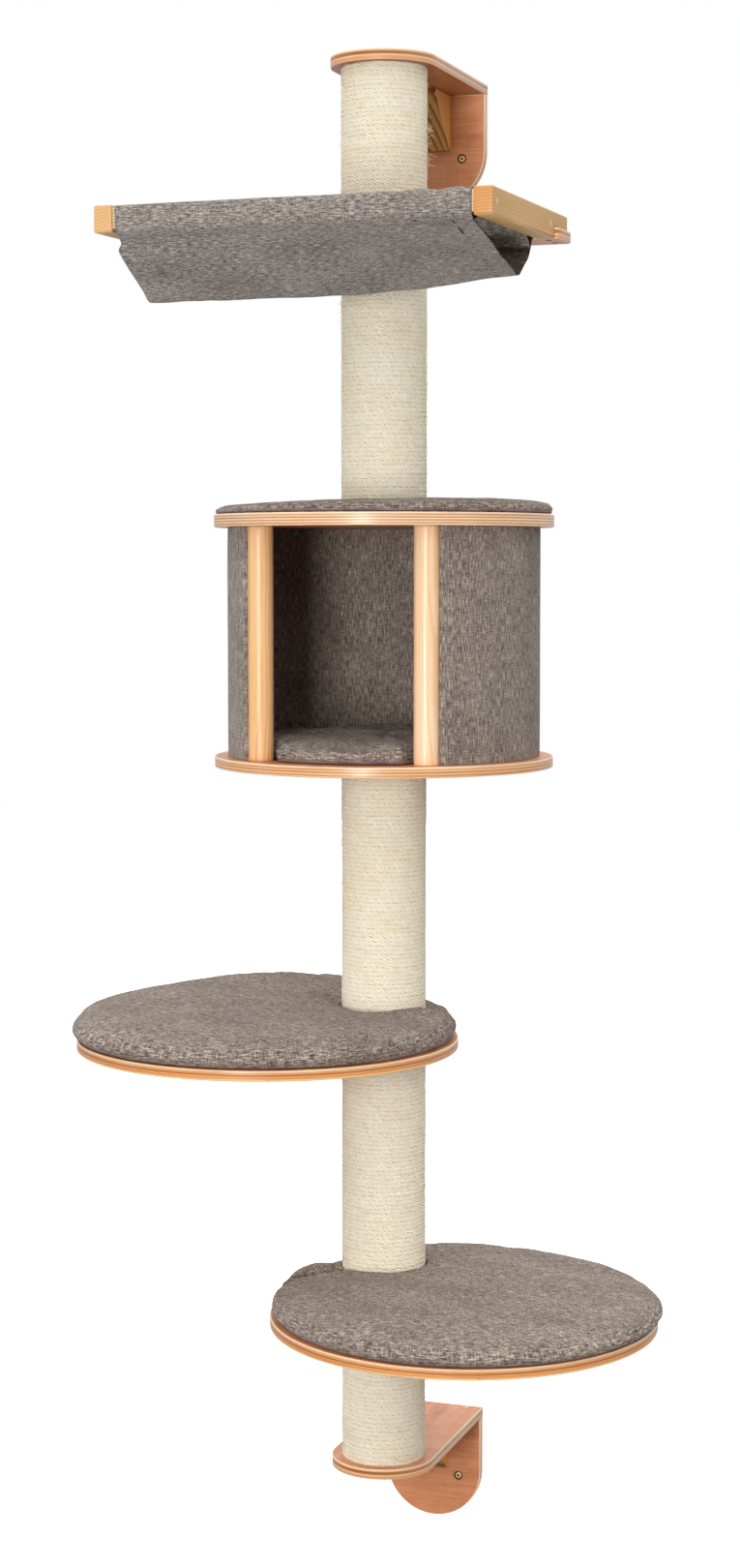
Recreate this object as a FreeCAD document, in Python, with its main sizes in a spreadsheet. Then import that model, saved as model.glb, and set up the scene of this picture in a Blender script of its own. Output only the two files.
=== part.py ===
import FreeCAD, Part
import Sketcher
import math
import os

# Wall mounted cat tree, millimetres.
# The wall is the plane Y = 0 and the tree stands out of it towards -Y; +Z is up and
# +X is to the right of somebody facing the wall.  The origin is midway between the
# two wall screw holes of the lower bracket, on the wall plane.

Vector = FreeCAD.Vector
Rotation = FreeCAD.Rotation
doc = FreeCAD.newDocument("wall_cat_tree")
sheet = doc.addObject("Spreadsheet::Sheet", "dims")
ROW = [0]


class Size:
    """A number together with the sheet expression that gives it."""

    def __init__(self, value, text):
        self.v = float(value)
        self.e = text

    def __add__(self, other):
        other = size(other)
        return Size(self.v + other.v, "(%s + %s)" % (self.e, other.e))

    def __radd__(self, other):
        return size(other) + self

    def __sub__(self, other):
        other = size(other)
        return Size(self.v - other.v, "(%s - %s)" % (self.e, other.e))

    def __rsub__(self, other):
        return size(other) - self

    def __mul__(self, other):
        other = size(other)
        return Size(self.v * other.v, "(%s * %s)" % (self.e, other.e))

    def __rmul__(self, other):
        return size(other) * self

    def __truediv__(self, other):
        other = size(other)
        return Size(self.v / other.v, "(%s / %s)" % (self.e, other.e))

    def __neg__(self):
        return Size(-self.v, "(0 - %s)" % self.e)


def size(x):
    if isinstance(x, Size):
        return x
    if x < 0:
        return Size(x, "(0 - %.6f)" % -x)
    return Size(x, "%.6f" % x)


def cell(alias, value, note=""):
    ROW[0] += 1
    sheet.set("A%d" % ROW[0], "%g" % value)
    sheet.setAlias("A%d" % ROW[0], alias)
    if note:
        sheet.set("B%d" % ROW[0], note)
    return Size(value, "dims.%s" % alias)


# ---------------------------------------------------------------- driving sizes
wall_gap = cell("wall_gap", 250, "post axis to wall")
ply = cell("ply", 15, "plywood of brackets, shelves, cave floor")
ply_top = cell("ply_top", 18, "plywood of the cave roof")
brk_half = cell("brk_half", 75, "half width of a bracket")
brk_drop = cell("brk_drop", 83, "bracket plate underside to centre of the round end")
screw_drop = cell("screw_drop", 92, "bracket plate underside to wall screw centres")
wall_screw_half = cell("wall_screw_half", 40, "wall screw centre from the middle")
wall_screw_hole = cell("wall_screw_hole", 3.25)
gusset_w = cell("gusset_w", 46)
gusset_leg_y = cell("gusset_leg_y", 75)
gusset_leg_z = cell("gusset_leg_z", 80)
gusset_nose = cell("gusset_nose", 8)

post_out = cell("post_out", 60, "sisal outside radius")
core_out = cell("core_out", 54)
core_in = cell("core_in", 49)
plug_thick = cell("plug_thick", 22)
bolt_rad = cell("bolt_rad", 5)
run_gap = cell("run_gap", 0.08, "radial running clearance of a swivel hole")
nut_rad = cell("nut_rad", 8)
nut_len = cell("nut_len", 20)
post_len = [cell("post_len_a", 235), cell("post_len_b", 357), cell("post_len_c", 380),
            cell("post_len_d", 363), cell("post_len_e", 240)]

shelf_rad = cell("shelf_rad", 270)
upper_x = cell("upper_x", -140)
upper_y = cell("upper_y", -98)
lower_x = cell("lower_x", 152)
lower_y = cell("lower_y", -99)
pad_rad = cell("pad_rad", 265)
pad_thick = cell("pad_thick", 36)
pad_hole = cell("pad_hole", 62)
slit_w = cell("slit_w", 3)

cave_rad = cell("cave_rad", 240)
cave_gap = cell("cave_gap", 322, "height between the cave's plates")
cave_wall_out = cell("cave_wall_out", 221)
cave_wall_in = cell("cave_wall_in", 211)
cloth = cell("cloth", 2)
cave_door = cell("cave_door", 41.2, "half angle of the doorway, at the wall cover")
panel_door = cell("panel_door", 42, "half angle of the doorway, at the panel")
dowel_ring = cell("dowel_ring", 205)
dowel_rad = cell("dowel_rad", 17.5)
dowel_deg = cell("dowel_deg", 36)
cave_turn = cell("cave_turn", -0.7)
roof_pad_rad = cell("roof_pad_rad", 236)
roof_pad_thick = cell("roof_pad_thick", 20)
floor_pad_rad = cell("floor_pad_rad", 207)
floor_pad_thick = cell("floor_pad_thick", 30)
sink_rad = cell("sink_rad", 12)
sink_deep = cell("sink_deep", 8.6)

ham_turn = cell("ham_turn", -1.1)
arm_half = cell("arm_half", 281)
arm_front = cell("arm_front", -90)
arm_back = cell("arm_back", -26)
ham_disc = cell("ham_disc", 75)
batten_w = cell("batten_w", 26)
batten_h = cell("batten_h", 36)
batten_out = cell("batten_out", 275)
batten_front = cell("batten_front", -358)
batten_back = cell("batten_back", -28)
rail_w = cell("rail_w", 26)
rail_lo = cell("rail_lo", 5)
rail_hi = cell("rail_hi", 33)
rail_front = cell("rail_front", -354)
rail_rear = cell("rail_rear", -120)
cloth_half = cell("cloth_half", 245)

# heights along the post, from the top of the lower bracket plate upwards
z_low_under = screw_drop                      # underside of the lower bracket plate
z_seg_a = z_low_under + ply
z_low_shelf = z_seg_a + post_len[0]
z_seg_b = z_low_shelf + ply
z_up_shelf = z_seg_b + post_len[1]
z_seg_c = z_up_shelf + ply
z_cave = z_seg_c + post_len[2]
z_seg_d = z_cave + ply + cave_gap + ply_top
z_ham = z_seg_d + post_len[3]
z_seg_e = z_ham + ply
z_top_under = z_seg_e + post_len[4]
AXIS_Y = -wall_gap

NODES = {}
ALL = []


def remember(obj):
    ALL.append(obj)
    return obj


def bind(obj, prop, value):
    value = size(value)
    obj.setExpression(prop, value.e)


def place(obj, x=0, y=0, z=0, turn=None, rot=None):
    x, y, z = size(x), size(y), size(z)
    if turn is not None:
        rot = Rotation(Vector(0, 0, 1), turn.v)
    obj.Placement = FreeCAD.Placement(Vector(x.v, y.v, z.v), rot if rot else Rotation())
    for axis, val in (("x", x), ("y", y), ("z", z)):
        obj.setExpression(".Placement.Base.%s" % axis, val.e)
    return obj


def node(label, obj):
    obj.Label = label
    NODES[label] = obj
    return obj


# ---------------------------------------------------------------- sketch helpers
def body(name):
    return remember(doc.addObject("PartDesign::Body", name))


def sketch(owner, name, role="XY_Plane"):
    s = owner.newObject("Sketcher::SketchObject", name)
    for f in owner.Origin.OriginFeatures:
        if f.Role == role:
            s.AttachmentSupport = [(f, "")]
    s.MapMode = "FlatFace"
    return remember(s)


def datum(s, kind, where, value):
    i = s.addConstraint(Sketcher.Constraint(kind, *(list(where) + [value.v])))
    s.setExpression("Constraints[%d]" % i, value.e)


def circle(s, x, y, r):
    x, y, r = size(x), size(y), size(r)
    g = s.addGeometry(Part.Circle(Vector(x.v, y.v, 0), Vector(0, 0, 1), r.v), False)
    datum(s, "Radius", [g], r)
    if x.v == 0 and y.v == 0:
        s.addConstraint(Sketcher.Constraint("Coincident", g, 3, -1, 1))
    else:
        datum(s, "DistanceX", [-1, 1, g, 3], x)
        datum(s, "DistanceY", [-1, 1, g, 3], y)
    return g


def polygon(s, pts):
    pts = [(size(a), size(b)) for a, b in pts]
    n = len(pts)
    first = None
    ids = []
    for i in range(n):
        a, b = pts[i], pts[(i + 1) % n]
        ids.append(s.addGeometry(Part.LineSegment(Vector(a[0].v, a[1].v, 0), Vector(b[0].v, b[1].v, 0)), False))
    for i in range(n):
        s.addConstraint(Sketcher.Constraint("Coincident", ids[i], 2, ids[(i + 1) % n], 1))
    for i in range(n):
        datum(s, "DistanceX", [-1, 1, ids[i], 1], pts[i][0])
        datum(s, "DistanceY", [-1, 1, ids[i], 1], pts[i][1])
    return ids


def rectangle(s, x0, y0, x1, y1):
    return polygon(s, [(x0, y0), (x1, y0), (x1, y1), (x0, y1)])


def rounded_rectangle(s, x0, y0, x1, y1, r):
    x0, y0, x1, y1, r = size(x0), size(y0), size(x1), size(y1), size(r)
    z = Vector(0, 0, 1)

    def line(a, b, c, d):
        return s.addGeometry(Part.LineSegment(Vector(a, b, 0), Vector(c, d, 0)), False)

    def arc(cx, cy, a0, a1):
        return s.addGeometry(Part.ArcOfCircle(Part.Circle(Vector(cx, cy, 0), z, r.v),
                                              math.radians(a0), math.radians(a1)), False)
    X0, Y0, X1, Y1, R = x0.v, y0.v, x1.v, y1.v, r.v
    b = line(X0 + R, Y0, X1 - R, Y0)
    c1 = arc(X1 - R, Y0 + R, 270, 360)
    rt = line(X1, Y0 + R, X1, Y1 - R)
    c2 = arc(X1 - R, Y1 - R, 0, 90)
    t = line(X1 - R, Y1, X0 + R, Y1)
    c3 = arc(X0 + R, Y1 - R, 90, 180)
    lf = line(X0, Y1 - R, X0, Y0 + R)
    c4 = arc(X0 + R, Y0 + R, 180, 270)
    for a, pa, q, pq in ((b, 2, c1, 1), (c1, 2, rt, 1), (rt, 2, c2, 1), (c2, 2, t, 1),
                         (t, 2, c3, 1), (c3, 2, lf, 1), (lf, 2, c4, 1), (c4, 2, b, 1)):
        s.addConstraint(Sketcher.Constraint("Tangent", a, pa, q, pq))
    s.addConstraint(Sketcher.Constraint("Horizontal", b))
    s.addConstraint(Sketcher.Constraint("Vertical", rt))
    s.addConstraint(Sketcher.Constraint("Horizontal", t))
    s.addConstraint(Sketcher.Constraint("Vertical", lf))
    for c in (c2, c3, c4):
        s.addConstraint(Sketcher.Constraint("Equal", c1, c))
    datum(s, "Radius", [c1], r)
    datum(s, "DistanceX", [-1, 1, lf, 1], x0)
    datum(s, "DistanceX", [-1, 1, rt, 1], x1)
    datum(s, "DistanceY", [-1, 1, b, 1], y0)
    datum(s, "DistanceY", [-1, 1, t, 1], y1)


def pad(owner, name, s, length, both=False):
    p = owner.newObject("PartDesign::Pad", name)
    p.Profile = s
    bind(p, "Length", length)
    if both:
        p.Midplane = True
    s.Visibility = False
    return remember(p)


def turned(owner, name, s):
    r = owner.newObject("PartDesign::Revolution", name)
    r.Profile = s
    r.ReferenceAxis = (s, ["V_Axis"])
    r.Angle = 360
    return remember(r)


# ---------------------------------------------------------------- primitive helpers
def cyl(name, r, length, x=0, y=0, z=0, way=None, angle=None, turn=None):
    c = remember(doc.addObject("Part::Cylinder", name))
    bind(c, "Radius", r)
    bind(c, "Height", length)
    if angle is not None:
        bind(c, "Angle", angle)
    rot = None
    if way is not None:
        rot = Rotation(Vector(0, 0, 1), Vector(*way))
    if turn is not None:
        rot = Rotation(Vector(0, 0, 1), turn.v)
    return place(c, x, y, z, rot=rot)


def box(name, lx, ly, lz, x=0, y=0, z=0, rot=None):
    b = remember(doc.addObject("Part::Box", name))
    bind(b, "Length", lx)
    bind(b, "Width", ly)
    bind(b, "Height", lz)
    return place(b, x, y, z, rot=rot)


def cut(name, base, tools):
    c = remember(doc.addObject("Part::Cut", name))
    c.Base = base
    if len(tools) == 1:
        c.Tool = tools[0]
    else:
        m = remember(doc.addObject("Part::Compound", name + "_tools"))
        m.Links = tools
        c.Tool = m
    return c


def fuse(name, parts):
    f = remember(doc.addObject("Part::MultiFuse", name))
    f.Shapes = parts
    return f


def group(name, parts):
    g = remember(doc.addObject("Part::Compound", name))
    g.Links = parts
    return g


def wood_screw(name, at, way, length, rad, clear=0.0):
    """Countersunk screw with its head flush at the point at, running along way."""
    shank = cyl(name + "_shank", rad + clear, size(length) + clear)
    cone = remember(doc.addObject("Part::Cone", name + "_head"))
    bind(cone, "Radius1", rad * 2 + clear)
    bind(cone, "Radius2", rad + clear)
    bind(cone, "Height", 3)
    f = fuse(name, [shank, cone])
    return place(f, at[0], at[1], at[2], rot=Rotation(Vector(0, 0, 1), Vector(*way)))


def hex_bolt(name, at, way, length):
    """Bolt whose head stands behind the point at and whose shank runs along way."""
    shank = cyl(name + "_shank", bolt_rad, length)
    head = remember(doc.addObject("Part::Prism", name + "_head"))
    head.Polygon = 6
    bind(head, "Circumradius", 9.8)
    bind(head, "Height", 6.4)
    place(head, 0, 0, -6.4)
    f = fuse(name, [shank, head])
    return place(f, at[0], at[1], at[2], rot=Rotation(Vector(0, 0, 1), Vector(*way)))


SCREW_R = 2.25

# ================================================================ brackets
bracket_screws = []
for which, z0 in (("upper", z_top_under), ("lower", z_low_under)):
    # local frame: wall plane at Y = 0, Z = 0 at the underside of the plate
    holes_at = [((-50, -7.5, ply), (0, 0, -1)), ((50, -7.5, ply), (0, 0, -1)),
                ((0, -55, ply), (0, 0, -1)), ((0, 0, -45), (0, -1, 0))]
    b = body(which + "_plate_blank")
    s = sketch(b, which + "_plate_outline")
    rectangle(s, -brk_half, AXIS_Y, brk_half, 0)
    pad(b, which + "_plate_pad", s, ply)
    s = sketch(b, which + "_plate_nose")
    circle(s, 0, AXIS_Y, brk_half)
    pad(b, which + "_plate_nose_pad", s, ply)
    tools = [wood_screw("%s_plate_hole_%d" % (which, i), at, way, 45, SCREW_R, 0.15)
             for i, (at, way) in enumerate(holes_at[:3])]
    tools.append(cyl(which + "_plate_bolt_hole", bolt_rad + 0.5, 40, 0, AXIS_Y, -10))
    c = cut(which + "_plate_cut", b, tools)
    place(c, 0, 0, z0)
    node(which + "_bracket_plate", c)

    b = body(which + "_wall_blank")
    s = sketch(b, which + "_wall_outline", "XZ_Plane")
    rectangle(s, -brk_half, -brk_drop, brk_half, 0)
    pad(b, which + "_wall_pad", s, ply)
    s = sketch(b, which + "_wall_round", "XZ_Plane")
    circle(s, 0, -brk_drop, brk_half)
    pad(b, which + "_wall_round_pad", s, ply)
    tools = [wood_screw("%s_wall_hole_%d" % (which, i), at, way, 45, SCREW_R, 0.15)
             for i, (at, way) in enumerate(holes_at) if i != 2]
    for i, sx in enumerate((-1, 1)):
        tools.append(cyl("%s_wall_bolt_%d" % (which, i), wall_screw_hole, 40,
                         wall_screw_half * sx, 10, -screw_drop, way=(0, -1, 0)))
        tools.append(cyl("%s_wall_sink_%d" % (which, i), 7, 10,
                         wall_screw_half * sx, -ply + 3, -screw_drop, way=(0, -1, 0)))
    c = cut(which + "_wall_cut", b, tools)
    place(c, 0, 0, z0)
    node(which + "_wall_plate", c)

    b = body(which + "_gusset_blank")
    s = sketch(b, which + "_gusset_outline", "YZ_Plane")
    polygon(s, [(-ply, 0), (-ply, -gusset_leg_z), (-ply - gusset_nose, -gusset_leg_z),
                (-ply - gusset_leg_y, -gusset_nose), (-ply - gusset_leg_y, 0)])
    pad(b, which + "_gusset_pad", s, gusset_w, both=True)
    tools = [wood_screw("%s_gusset_hole_%d" % (which, i), at, way, 45, SCREW_R, 0.15)
             for i, (at, way) in enumerate(holes_at) if i > 1]
    c = cut(which + "_gusset_cut", b, tools)
    place(c, 0, 0, z0)
    node(which + "_gusset", c)

    for i, (at, way) in enumerate(holes_at):
        bracket_screws.append(wood_screw("%s_bracket_screw_%d" % (which, i),
                                         (at[0], at[1], size(at[2]) + z0), way, 45, SCREW_R))
node("bracket_screws", group("bracket_screw_group", bracket_screws))

# bolts that hold the post between the brackets, and the two inside the cave
bolt_marks = [("bracket_bolt_top", z_top_under + ply + 2, (0, 0, -1)),
              ("bracket_bolt_low", z_low_under - 2, (0, 0, 1))]
node("bracket_bolts", group("bracket_bolt_group",
     [hex_bolt(n, (0, AXIS_Y, z), way, 40) for n, z, way in bolt_marks]))
z_roof = z_cave + ply + cave_gap
cave_marks = [("cave_bolt_roof", z_roof + sink_deep - 2, (0, 0, 1)),
              ("cave_bolt_floor", z_cave + ply - sink_deep + 2, (0, 0, -1))]
node("cave_bolts", group("cave_bolt_group",
     [hex_bolt(n, (0, AXIS_Y, z), way, 40) for n, z, way in cave_marks]))
washers = []
for i, z in enumerate((z_top_under + ply, z_low_under - 2, z_roof + sink_deep - 2, z_cave + ply - sink_deep)):
    ring = cyl("washer_disc_%d" % i, 10, 2)
    eye = cyl("washer_eye_%d" % i, bolt_rad + 0.3, 6, 0, 0, -2)
    w = cut("washer_%d" % i, ring, [eye])
    washers.append(place(w, 0, AXIS_Y, z))
node("bolt_washers", group("washer_group", washers))

# ================================================================ the post, five lengths
starts = [z_seg_a, z_seg_b, z_seg_c, z_seg_d, z_seg_e]
nuts = []
for k in range(5):
    n = k + 1
    b = body("core_blank_%d" % n)
    s = sketch(b, "core_ring_%d" % n)
    circle(s, 0, 0, core_out)
    circle(s, 0, 0, core_in)
    pad(b, "core_pad_%d" % n, s, post_len[k])
    node("post_core_%d" % n, place(b, 0, AXIS_Y, starts[k]))

    b = body("wrap_blank_%d" % n)
    s = sketch(b, "wrap_ring_%d" % n)
    circle(s, 0, 0, post_out)
    circle(s, 0, 0, core_out + 0.1)
    pad(b, "wrap_pad_%d" % n, s, post_len[k])
    node("sisal_wrap_%d" % n, place(b, 0, AXIS_Y, starts[k]))

    plugs = []
    for j, z in enumerate((starts[k], starts[k] + post_len[k] - plug_thick)):
        b = body("plug_blank_%d_%d" % (n, j))
        s = sketch(b, "plug_ring_%d_%d" % (n, j))
        circle(s, 0, 0, core_in - 0.1)
        circle(s, 0, 0, nut_rad + 0.05)
        pad(b, "plug_pad_%d_%d" % (n, j), s, plug_thick)
        plugs.append(place(b, 0, AXIS_Y, z))
    node("post_plugs_%d" % n, group("plug_group_%d" % n, plugs))
    for j, z in enumerate((starts[k], starts[k] + post_len[k] - nut_len)):
        ring = cyl("nut_out_%d_%d" % (n, j), nut_rad, nut_len)
        eye = cyl("nut_eye_%d_%d" % (n, j), bolt_rad + 0.1, nut_len + 4, 0, 0, -2)
        w = cut("nut_%d_%d" % (n, j), ring, [eye])
        nuts.append(place(w, 0, AXIS_Y, z))
node("insert_nuts", group("nut_group", nuts))
studs = [cyl("stud_%d" % i, bolt_rad, ply + nut_len * 2, 0, AXIS_Y, z - nut_len)
         for i, z in enumerate((z_low_shelf, z_up_shelf, z_ham))]
node("joining_studs", group("stud_group", studs))

# ================================================================ round shelves and their pads


def pad_profile(s, r, thick):
    """Half section of a round cushion with soft edges."""
    polygon(s, [(0, 0), (r - 7, 0), (r - 2, thick * 0.08), (r, thick * 0.26), (r, thick * 0.5), (r - 2.5, thick * 0.76),
                (r - 9, thick * 0.93), (r - 20, thick), (0, thick)])


for which, cx, cy, z0, slit_deg in (("upper", upper_x, upper_y, z_up_shelf, 105.0),
                                    ("lower", lower_x, lower_y, z_low_shelf, 228.0)):
    # local frame: post axis at the origin, Z = 0 at the underside of the shelf
    b = body(which + "_shelf_blank")
    s = sketch(b, which + "_shelf_outline")
    circle(s, cx, cy, shelf_rad)
    circle(s, 0, 0, bolt_rad + run_gap)
    pad(b, which + "_shelf_pad", s, ply)
    node(which + "_shelf_plate", place(b, 0, AXIS_Y, z0))

    b = body(which + "_pad_blank")
    s = sketch(b, which + "_pad_profile", "XZ_Plane")
    pad_profile(s, pad_rad, pad_thick)
    turned(b, which + "_pad_turn", s)
    place(b, cx, cy, 0)
    hole = cyl(which + "_pad_hole", pad_hole, pad_thick + 20, 0, 0, -10)
    slit = box(which + "_pad_slit", 400, slit_w, pad_thick + 20, 0, 0, -10,
               rot=Rotation(Vector(0, 0, 1), slit_deg))
    c = cut(which + "_pad_cut", b, [hole, slit])
    node(which + "_shelf_cushion", place(c, 0, AXIS_Y, z0 + ply))

# ================================================================ the cave
# local frame: post axis at the origin, Z = 0 at the underside of the floor plate
deg = math.radians(dowel_deg.v)
dowel_spots = [("left", -dowel_ring * math.sin(deg), -dowel_ring * math.cos(deg)),
               ("right", dowel_ring * math.sin(deg), -dowel_ring * math.cos(deg))]
roof_z = ply + cave_gap
screw_spots = []
for side, x, y in dowel_spots:
    screw_spots.append(((x, y, roof_z + ply_top), (0, 0, -1)))
    screw_spots.append(((x, y, size(0)), (0, 0, 1)))


def cave_part(label, obj):
    place(obj, 0, AXIS_Y, z_cave, turn=cave_turn)
    return node(label, obj)


b = body("cave_floor_blank")
s = sketch(b, "cave_floor_outline")
circle(s, 0, 0, cave_rad)
circle(s, 0, 0, bolt_rad + run_gap)
pad(b, "cave_floor_pad", s, ply)
tools = [cyl("cave_floor_sink", sink_rad, sink_deep + 5, 0, 0, ply - sink_deep)]
tools += [wood_screw("cave_floor_hole_%d" % i, at, way, 45, SCREW_R, 0.15)
          for i, (at, way) in enumerate(screw_spots) if way[2] > 0]
cave_part("cave_floor_plate", cut("cave_floor_cut", b, tools))

b = body("cave_roof_blank")
s = sketch(b, "cave_roof_outline")
circle(s, 0, 0, cave_rad)
circle(s, 0, 0, bolt_rad + run_gap)
pad(b, "cave_roof_pad", s, ply_top)
place(b, 0, 0, roof_z)
tools = [cyl("cave_roof_sink", sink_rad, sink_deep + 5, 0, 0, roof_z - 5)]
tools += [wood_screw("cave_roof_hole_%d" % i, at, way, 45, SCREW_R, 0.15)
          for i, (at, way) in enumerate(screw_spots) if way[2] < 0]
cave_part("cave_roof_plate", cut("cave_roof_cut", b, tools))

for side, x, y in dowel_spots:
    b = body("dowel_blank_" + side)
    s = sketch(b, "dowel_circle_" + side)
    circle(s, x, y, dowel_rad)
    pad(b, "dowel_pad_" + side, s, cave_gap)
    place(b, 0, 0, ply)
    tools = [wood_screw("dowel_%s_hole_%d" % (side, i), at, way, 45, SCREW_R, 0.15)
             for i, (at, way) in enumerate(screw_spots) if abs(at[0].v - x.v) < 1]
    cave_part("cave_dowel_" + side, cut("dowel_cut_" + side, b, tools))
cave_part("cave_dowel_screws", group("dowel_screw_group",
          [wood_screw("dowel_screw_%d" % i, at, way, 45, SCREW_R) for i, (at, way) in enumerate(screw_spots)]))


def ring_sector(name, r_out, r_in, half_door, length, z):
    whole = cyl(name + "_out", r_out, length, 0, 0, z, angle=360 - 2 * half_door, turn=half_door - 90)
    inner = cyl(name + "_in", r_in, length + 4, 0, 0, z - 2)
    return cut(name, whole, [inner])


panel = ring_sector("panel_ring", cave_wall_out - cloth, cave_wall_in + cloth, panel_door, cave_gap, ply)
cave_part("cave_wall_panel", panel)
shell = ring_sector("cover_ring", cave_wall_out, cave_wall_in, cave_door, cave_gap, ply)
room = ring_sector("cover_room", cave_wall_out - cloth, cave_wall_in + cloth, panel_door, cave_gap + 4, ply - 2)
cave_part("cave_wall_cover", cut("cover_cut", shell, [room]))

b = body("roof_pad_blank")
s = sketch(b, "roof_pad_profile", "XZ_Plane")
pad_profile(s, roof_pad_rad, roof_pad_thick)
turned(b, "roof_pad_turn", s)
place(b, 0, 0, 0)
hole = cyl("roof_pad_hole", pad_hole, roof_pad_thick + 20, 0, 0, -10)
slit = box("roof_pad_slit", 400, slit_w, roof_pad_thick + 20, 0, 0, -10, rot=Rotation(Vector(0, 0, 1), 95))
c = cut("roof_pad_cut", b, [hole, slit])
node("cave_roof_cushion", place(c, 0, AXIS_Y, z_cave + roof_z + ply_top, turn=cave_turn))

b = body("floor_pad_blank")
s = sketch(b, "floor_pad_profile", "XZ_Plane")
pad_profile(s, floor_pad_rad, floor_pad_thick)
turned(b, "floor_pad_turn", s)
place(b, 0, 0, 0)
tools = [cyl("floor_pad_notch_" + side, dowel_rad + 2.5, floor_pad_thick + 20, x, y, -10) for side, x, y in dowel_spots]
c = cut("floor_pad_cut", b, tools)
node("cave_floor_cushion", place(c, 0, AXIS_Y, z_cave + ply, turn=cave_turn))

# ================================================================ the hammock
# local frame: post axis at the origin, Z = 0 at the underside of the carrying plate


def ham_part(label, obj):
    place(obj, 0, AXIS_Y, z_ham, turn=ham_turn)
    return node(label, obj)


rail_mid_z = (rail_lo + rail_hi) / 2
rail_spots = []
plate_spots = []
for sx in (-1, 1):
    for y0 in (rail_front, rail_rear):
        rail_spots.append(((batten_out * sx, y0 + rail_w / 2, rail_mid_z), (-sx, 0, 0)))
    for y in (-74, -44):
        plate_spots.append((((batten_out - batten_w / 2) * sx, size(y), size(0)), (0, 0, 1)))

b = body("ham_plate_blank")
s = sketch(b, "ham_plate_outline")
rounded_rectangle(s, -arm_half, arm_front, arm_half, arm_back, 9)
pad(b, "ham_plate_pad", s, ply)
s = sketch(b, "ham_plate_disc")
circle(s, 0, 0, ham_disc)
pad(b, "ham_plate_disc_pad", s, ply)
tools = [cyl("ham_plate_bore", bolt_rad + run_gap, 40, 0, 0, -10)]
tools += [wood_screw("ham_plate_hole_%d" % i, at, way, 30, 2, 0.15) for i, (at, way) in enumerate(plate_spots)]
ham_part("hammock_plate", cut("ham_plate_cut", b, tools))

for side, sx in (("left", -1), ("right", 1)):
    b = body("batten_blank_" + side)
    s = sketch(b, "batten_outline_" + side, "YZ_Plane")
    polygon(s, [(batten_front, 0), (arm_front - 0.5, 0), (arm_front - 0.5, ply), (batten_back, ply),
                (batten_back, batten_h), (batten_front, batten_h)])
    pad(b, "batten_pad_" + side, s, batten_w)
    if sx > 0:
        place(b, batten_out - batten_w, 0, 0)
    else:
        place(b, -batten_out, 0, 0)
    tools = [wood_screw("batten_%s_side_%d" % (side, i), at, way, 50, SCREW_R, 0.15)
             for i, (at, way) in enumerate(rail_spots) if at[0].v * sx > 0]
    tools += [wood_screw("batten_%s_under_%d" % (side, i), at, way, 30, 2, 0.15)
              for i, (at, way) in enumerate(plate_spots) if at[0].v * sx > 0]
    ham_part("hammock_batten_" + side, cut("batten_cut_" + side, b, tools))

for side, y0 in (("front", rail_front), ("rear", rail_rear)):
    b = body("rail_blank_" + side)
    s = sketch(b, "rail_outline_" + side, "YZ_Plane")
    rectangle(s, y0, rail_lo, y0 + rail_w, rail_hi)
    pad(b, "rail_pad_" + side, s, (batten_out - batten_w) * 2, both=True)
    tools = [wood_screw("rail_%s_hole_%d" % (side, i), at, way, 50, SCREW_R, 0.15)
             for i, (at, way) in enumerate(rail_spots) if abs(at[1].v - y0.v - rail_w.v / 2) < 1]
    ham_part("hammock_rail_" + side, cut("rail_cut_" + side, b, tools))

ham_part("rail_screws", group("rail_screw_group",
         [wood_screw("rail_screw_%d" % i, at, way, 50, SCREW_R) for i, (at, way) in enumerate(rail_spots)]))
ham_part("batten_screws", group("batten_screw_group",
         [wood_screw("batten_screw_%d" % i, at, way, 30, 2) for i, (at, way) in enumerate(plate_spots)]))

# the hung cloth: a sleeve round each rail and one trough between them.  The trough is twisted:
# its crease lies near the front at the left end and near the back, and higher, at the right end
f0 = rail_front - cloth
f1 = rail_front + rail_w + cloth
r0 = rail_rear - cloth
r1 = rail_rear + rail_w + cloth
top = rail_hi + cloth
low = rail_lo - cloth


def cloth_section(name, x, fy, fz, cy, cz, ry, rz):
    """Outline of the cloth at one place along the rails: front fold, crease and rear fold."""
    s = remember(doc.addObject("Sketcher::SketchObject", name))
    s.Placement = FreeCAD.Placement(Vector(size(x).v, 0, 0), Rotation(Vector(1, 1, 1), 120))
    s.setExpression(".Placement.Base.x", size(x).e)
    polygon(s, [(f0, top), (f0, low), (fy, fz), (cy - 9, cz + 4.5), (cy + 4, cz), (cy + 15, cz + 5.5), (ry, rz), (r1, low), (r1, top),
                (r0, top), (r0, low), (r1 - 4.5, low), (ry - 2.5, rz + 2.5), (cy + 13, cz + 8), (cy + 3.5, cz + 3.5), (cy - 7.5, cz + 7.5),
                (fy + 2, fz + 3.2), (f0 + 8.5, low), (f1, low), (f1, top)])
    return s


sections = [cloth_section("cloth_section_a", -cloth_half, -307, -45.5, -250, -79.5, -172, -40),
            cloth_section("cloth_section_b", 30, -263, -45, -194, -79, -137, -31.5),
            cloth_section("cloth_section_c", cloth_half, -225, -36.5, -152, -55.5, -107, -22)]
lf = remember(doc.addObject("Part::Loft", "hammock_cloth_loft"))
lf.Sections = sections
lf.Solid = True
lf.Ruled = True
sleeves = [box("cloth_sleeve_" + side, cloth_half * 2 + 10, rail_w, rail_hi - rail_lo, -cloth_half - 5, y0, rail_lo)
           for side, y0 in (("front", rail_front), ("rear", rail_rear))]
ham_part("hammock_fabric", cut("hammock_cloth_cut", lf, sleeves))

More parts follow.
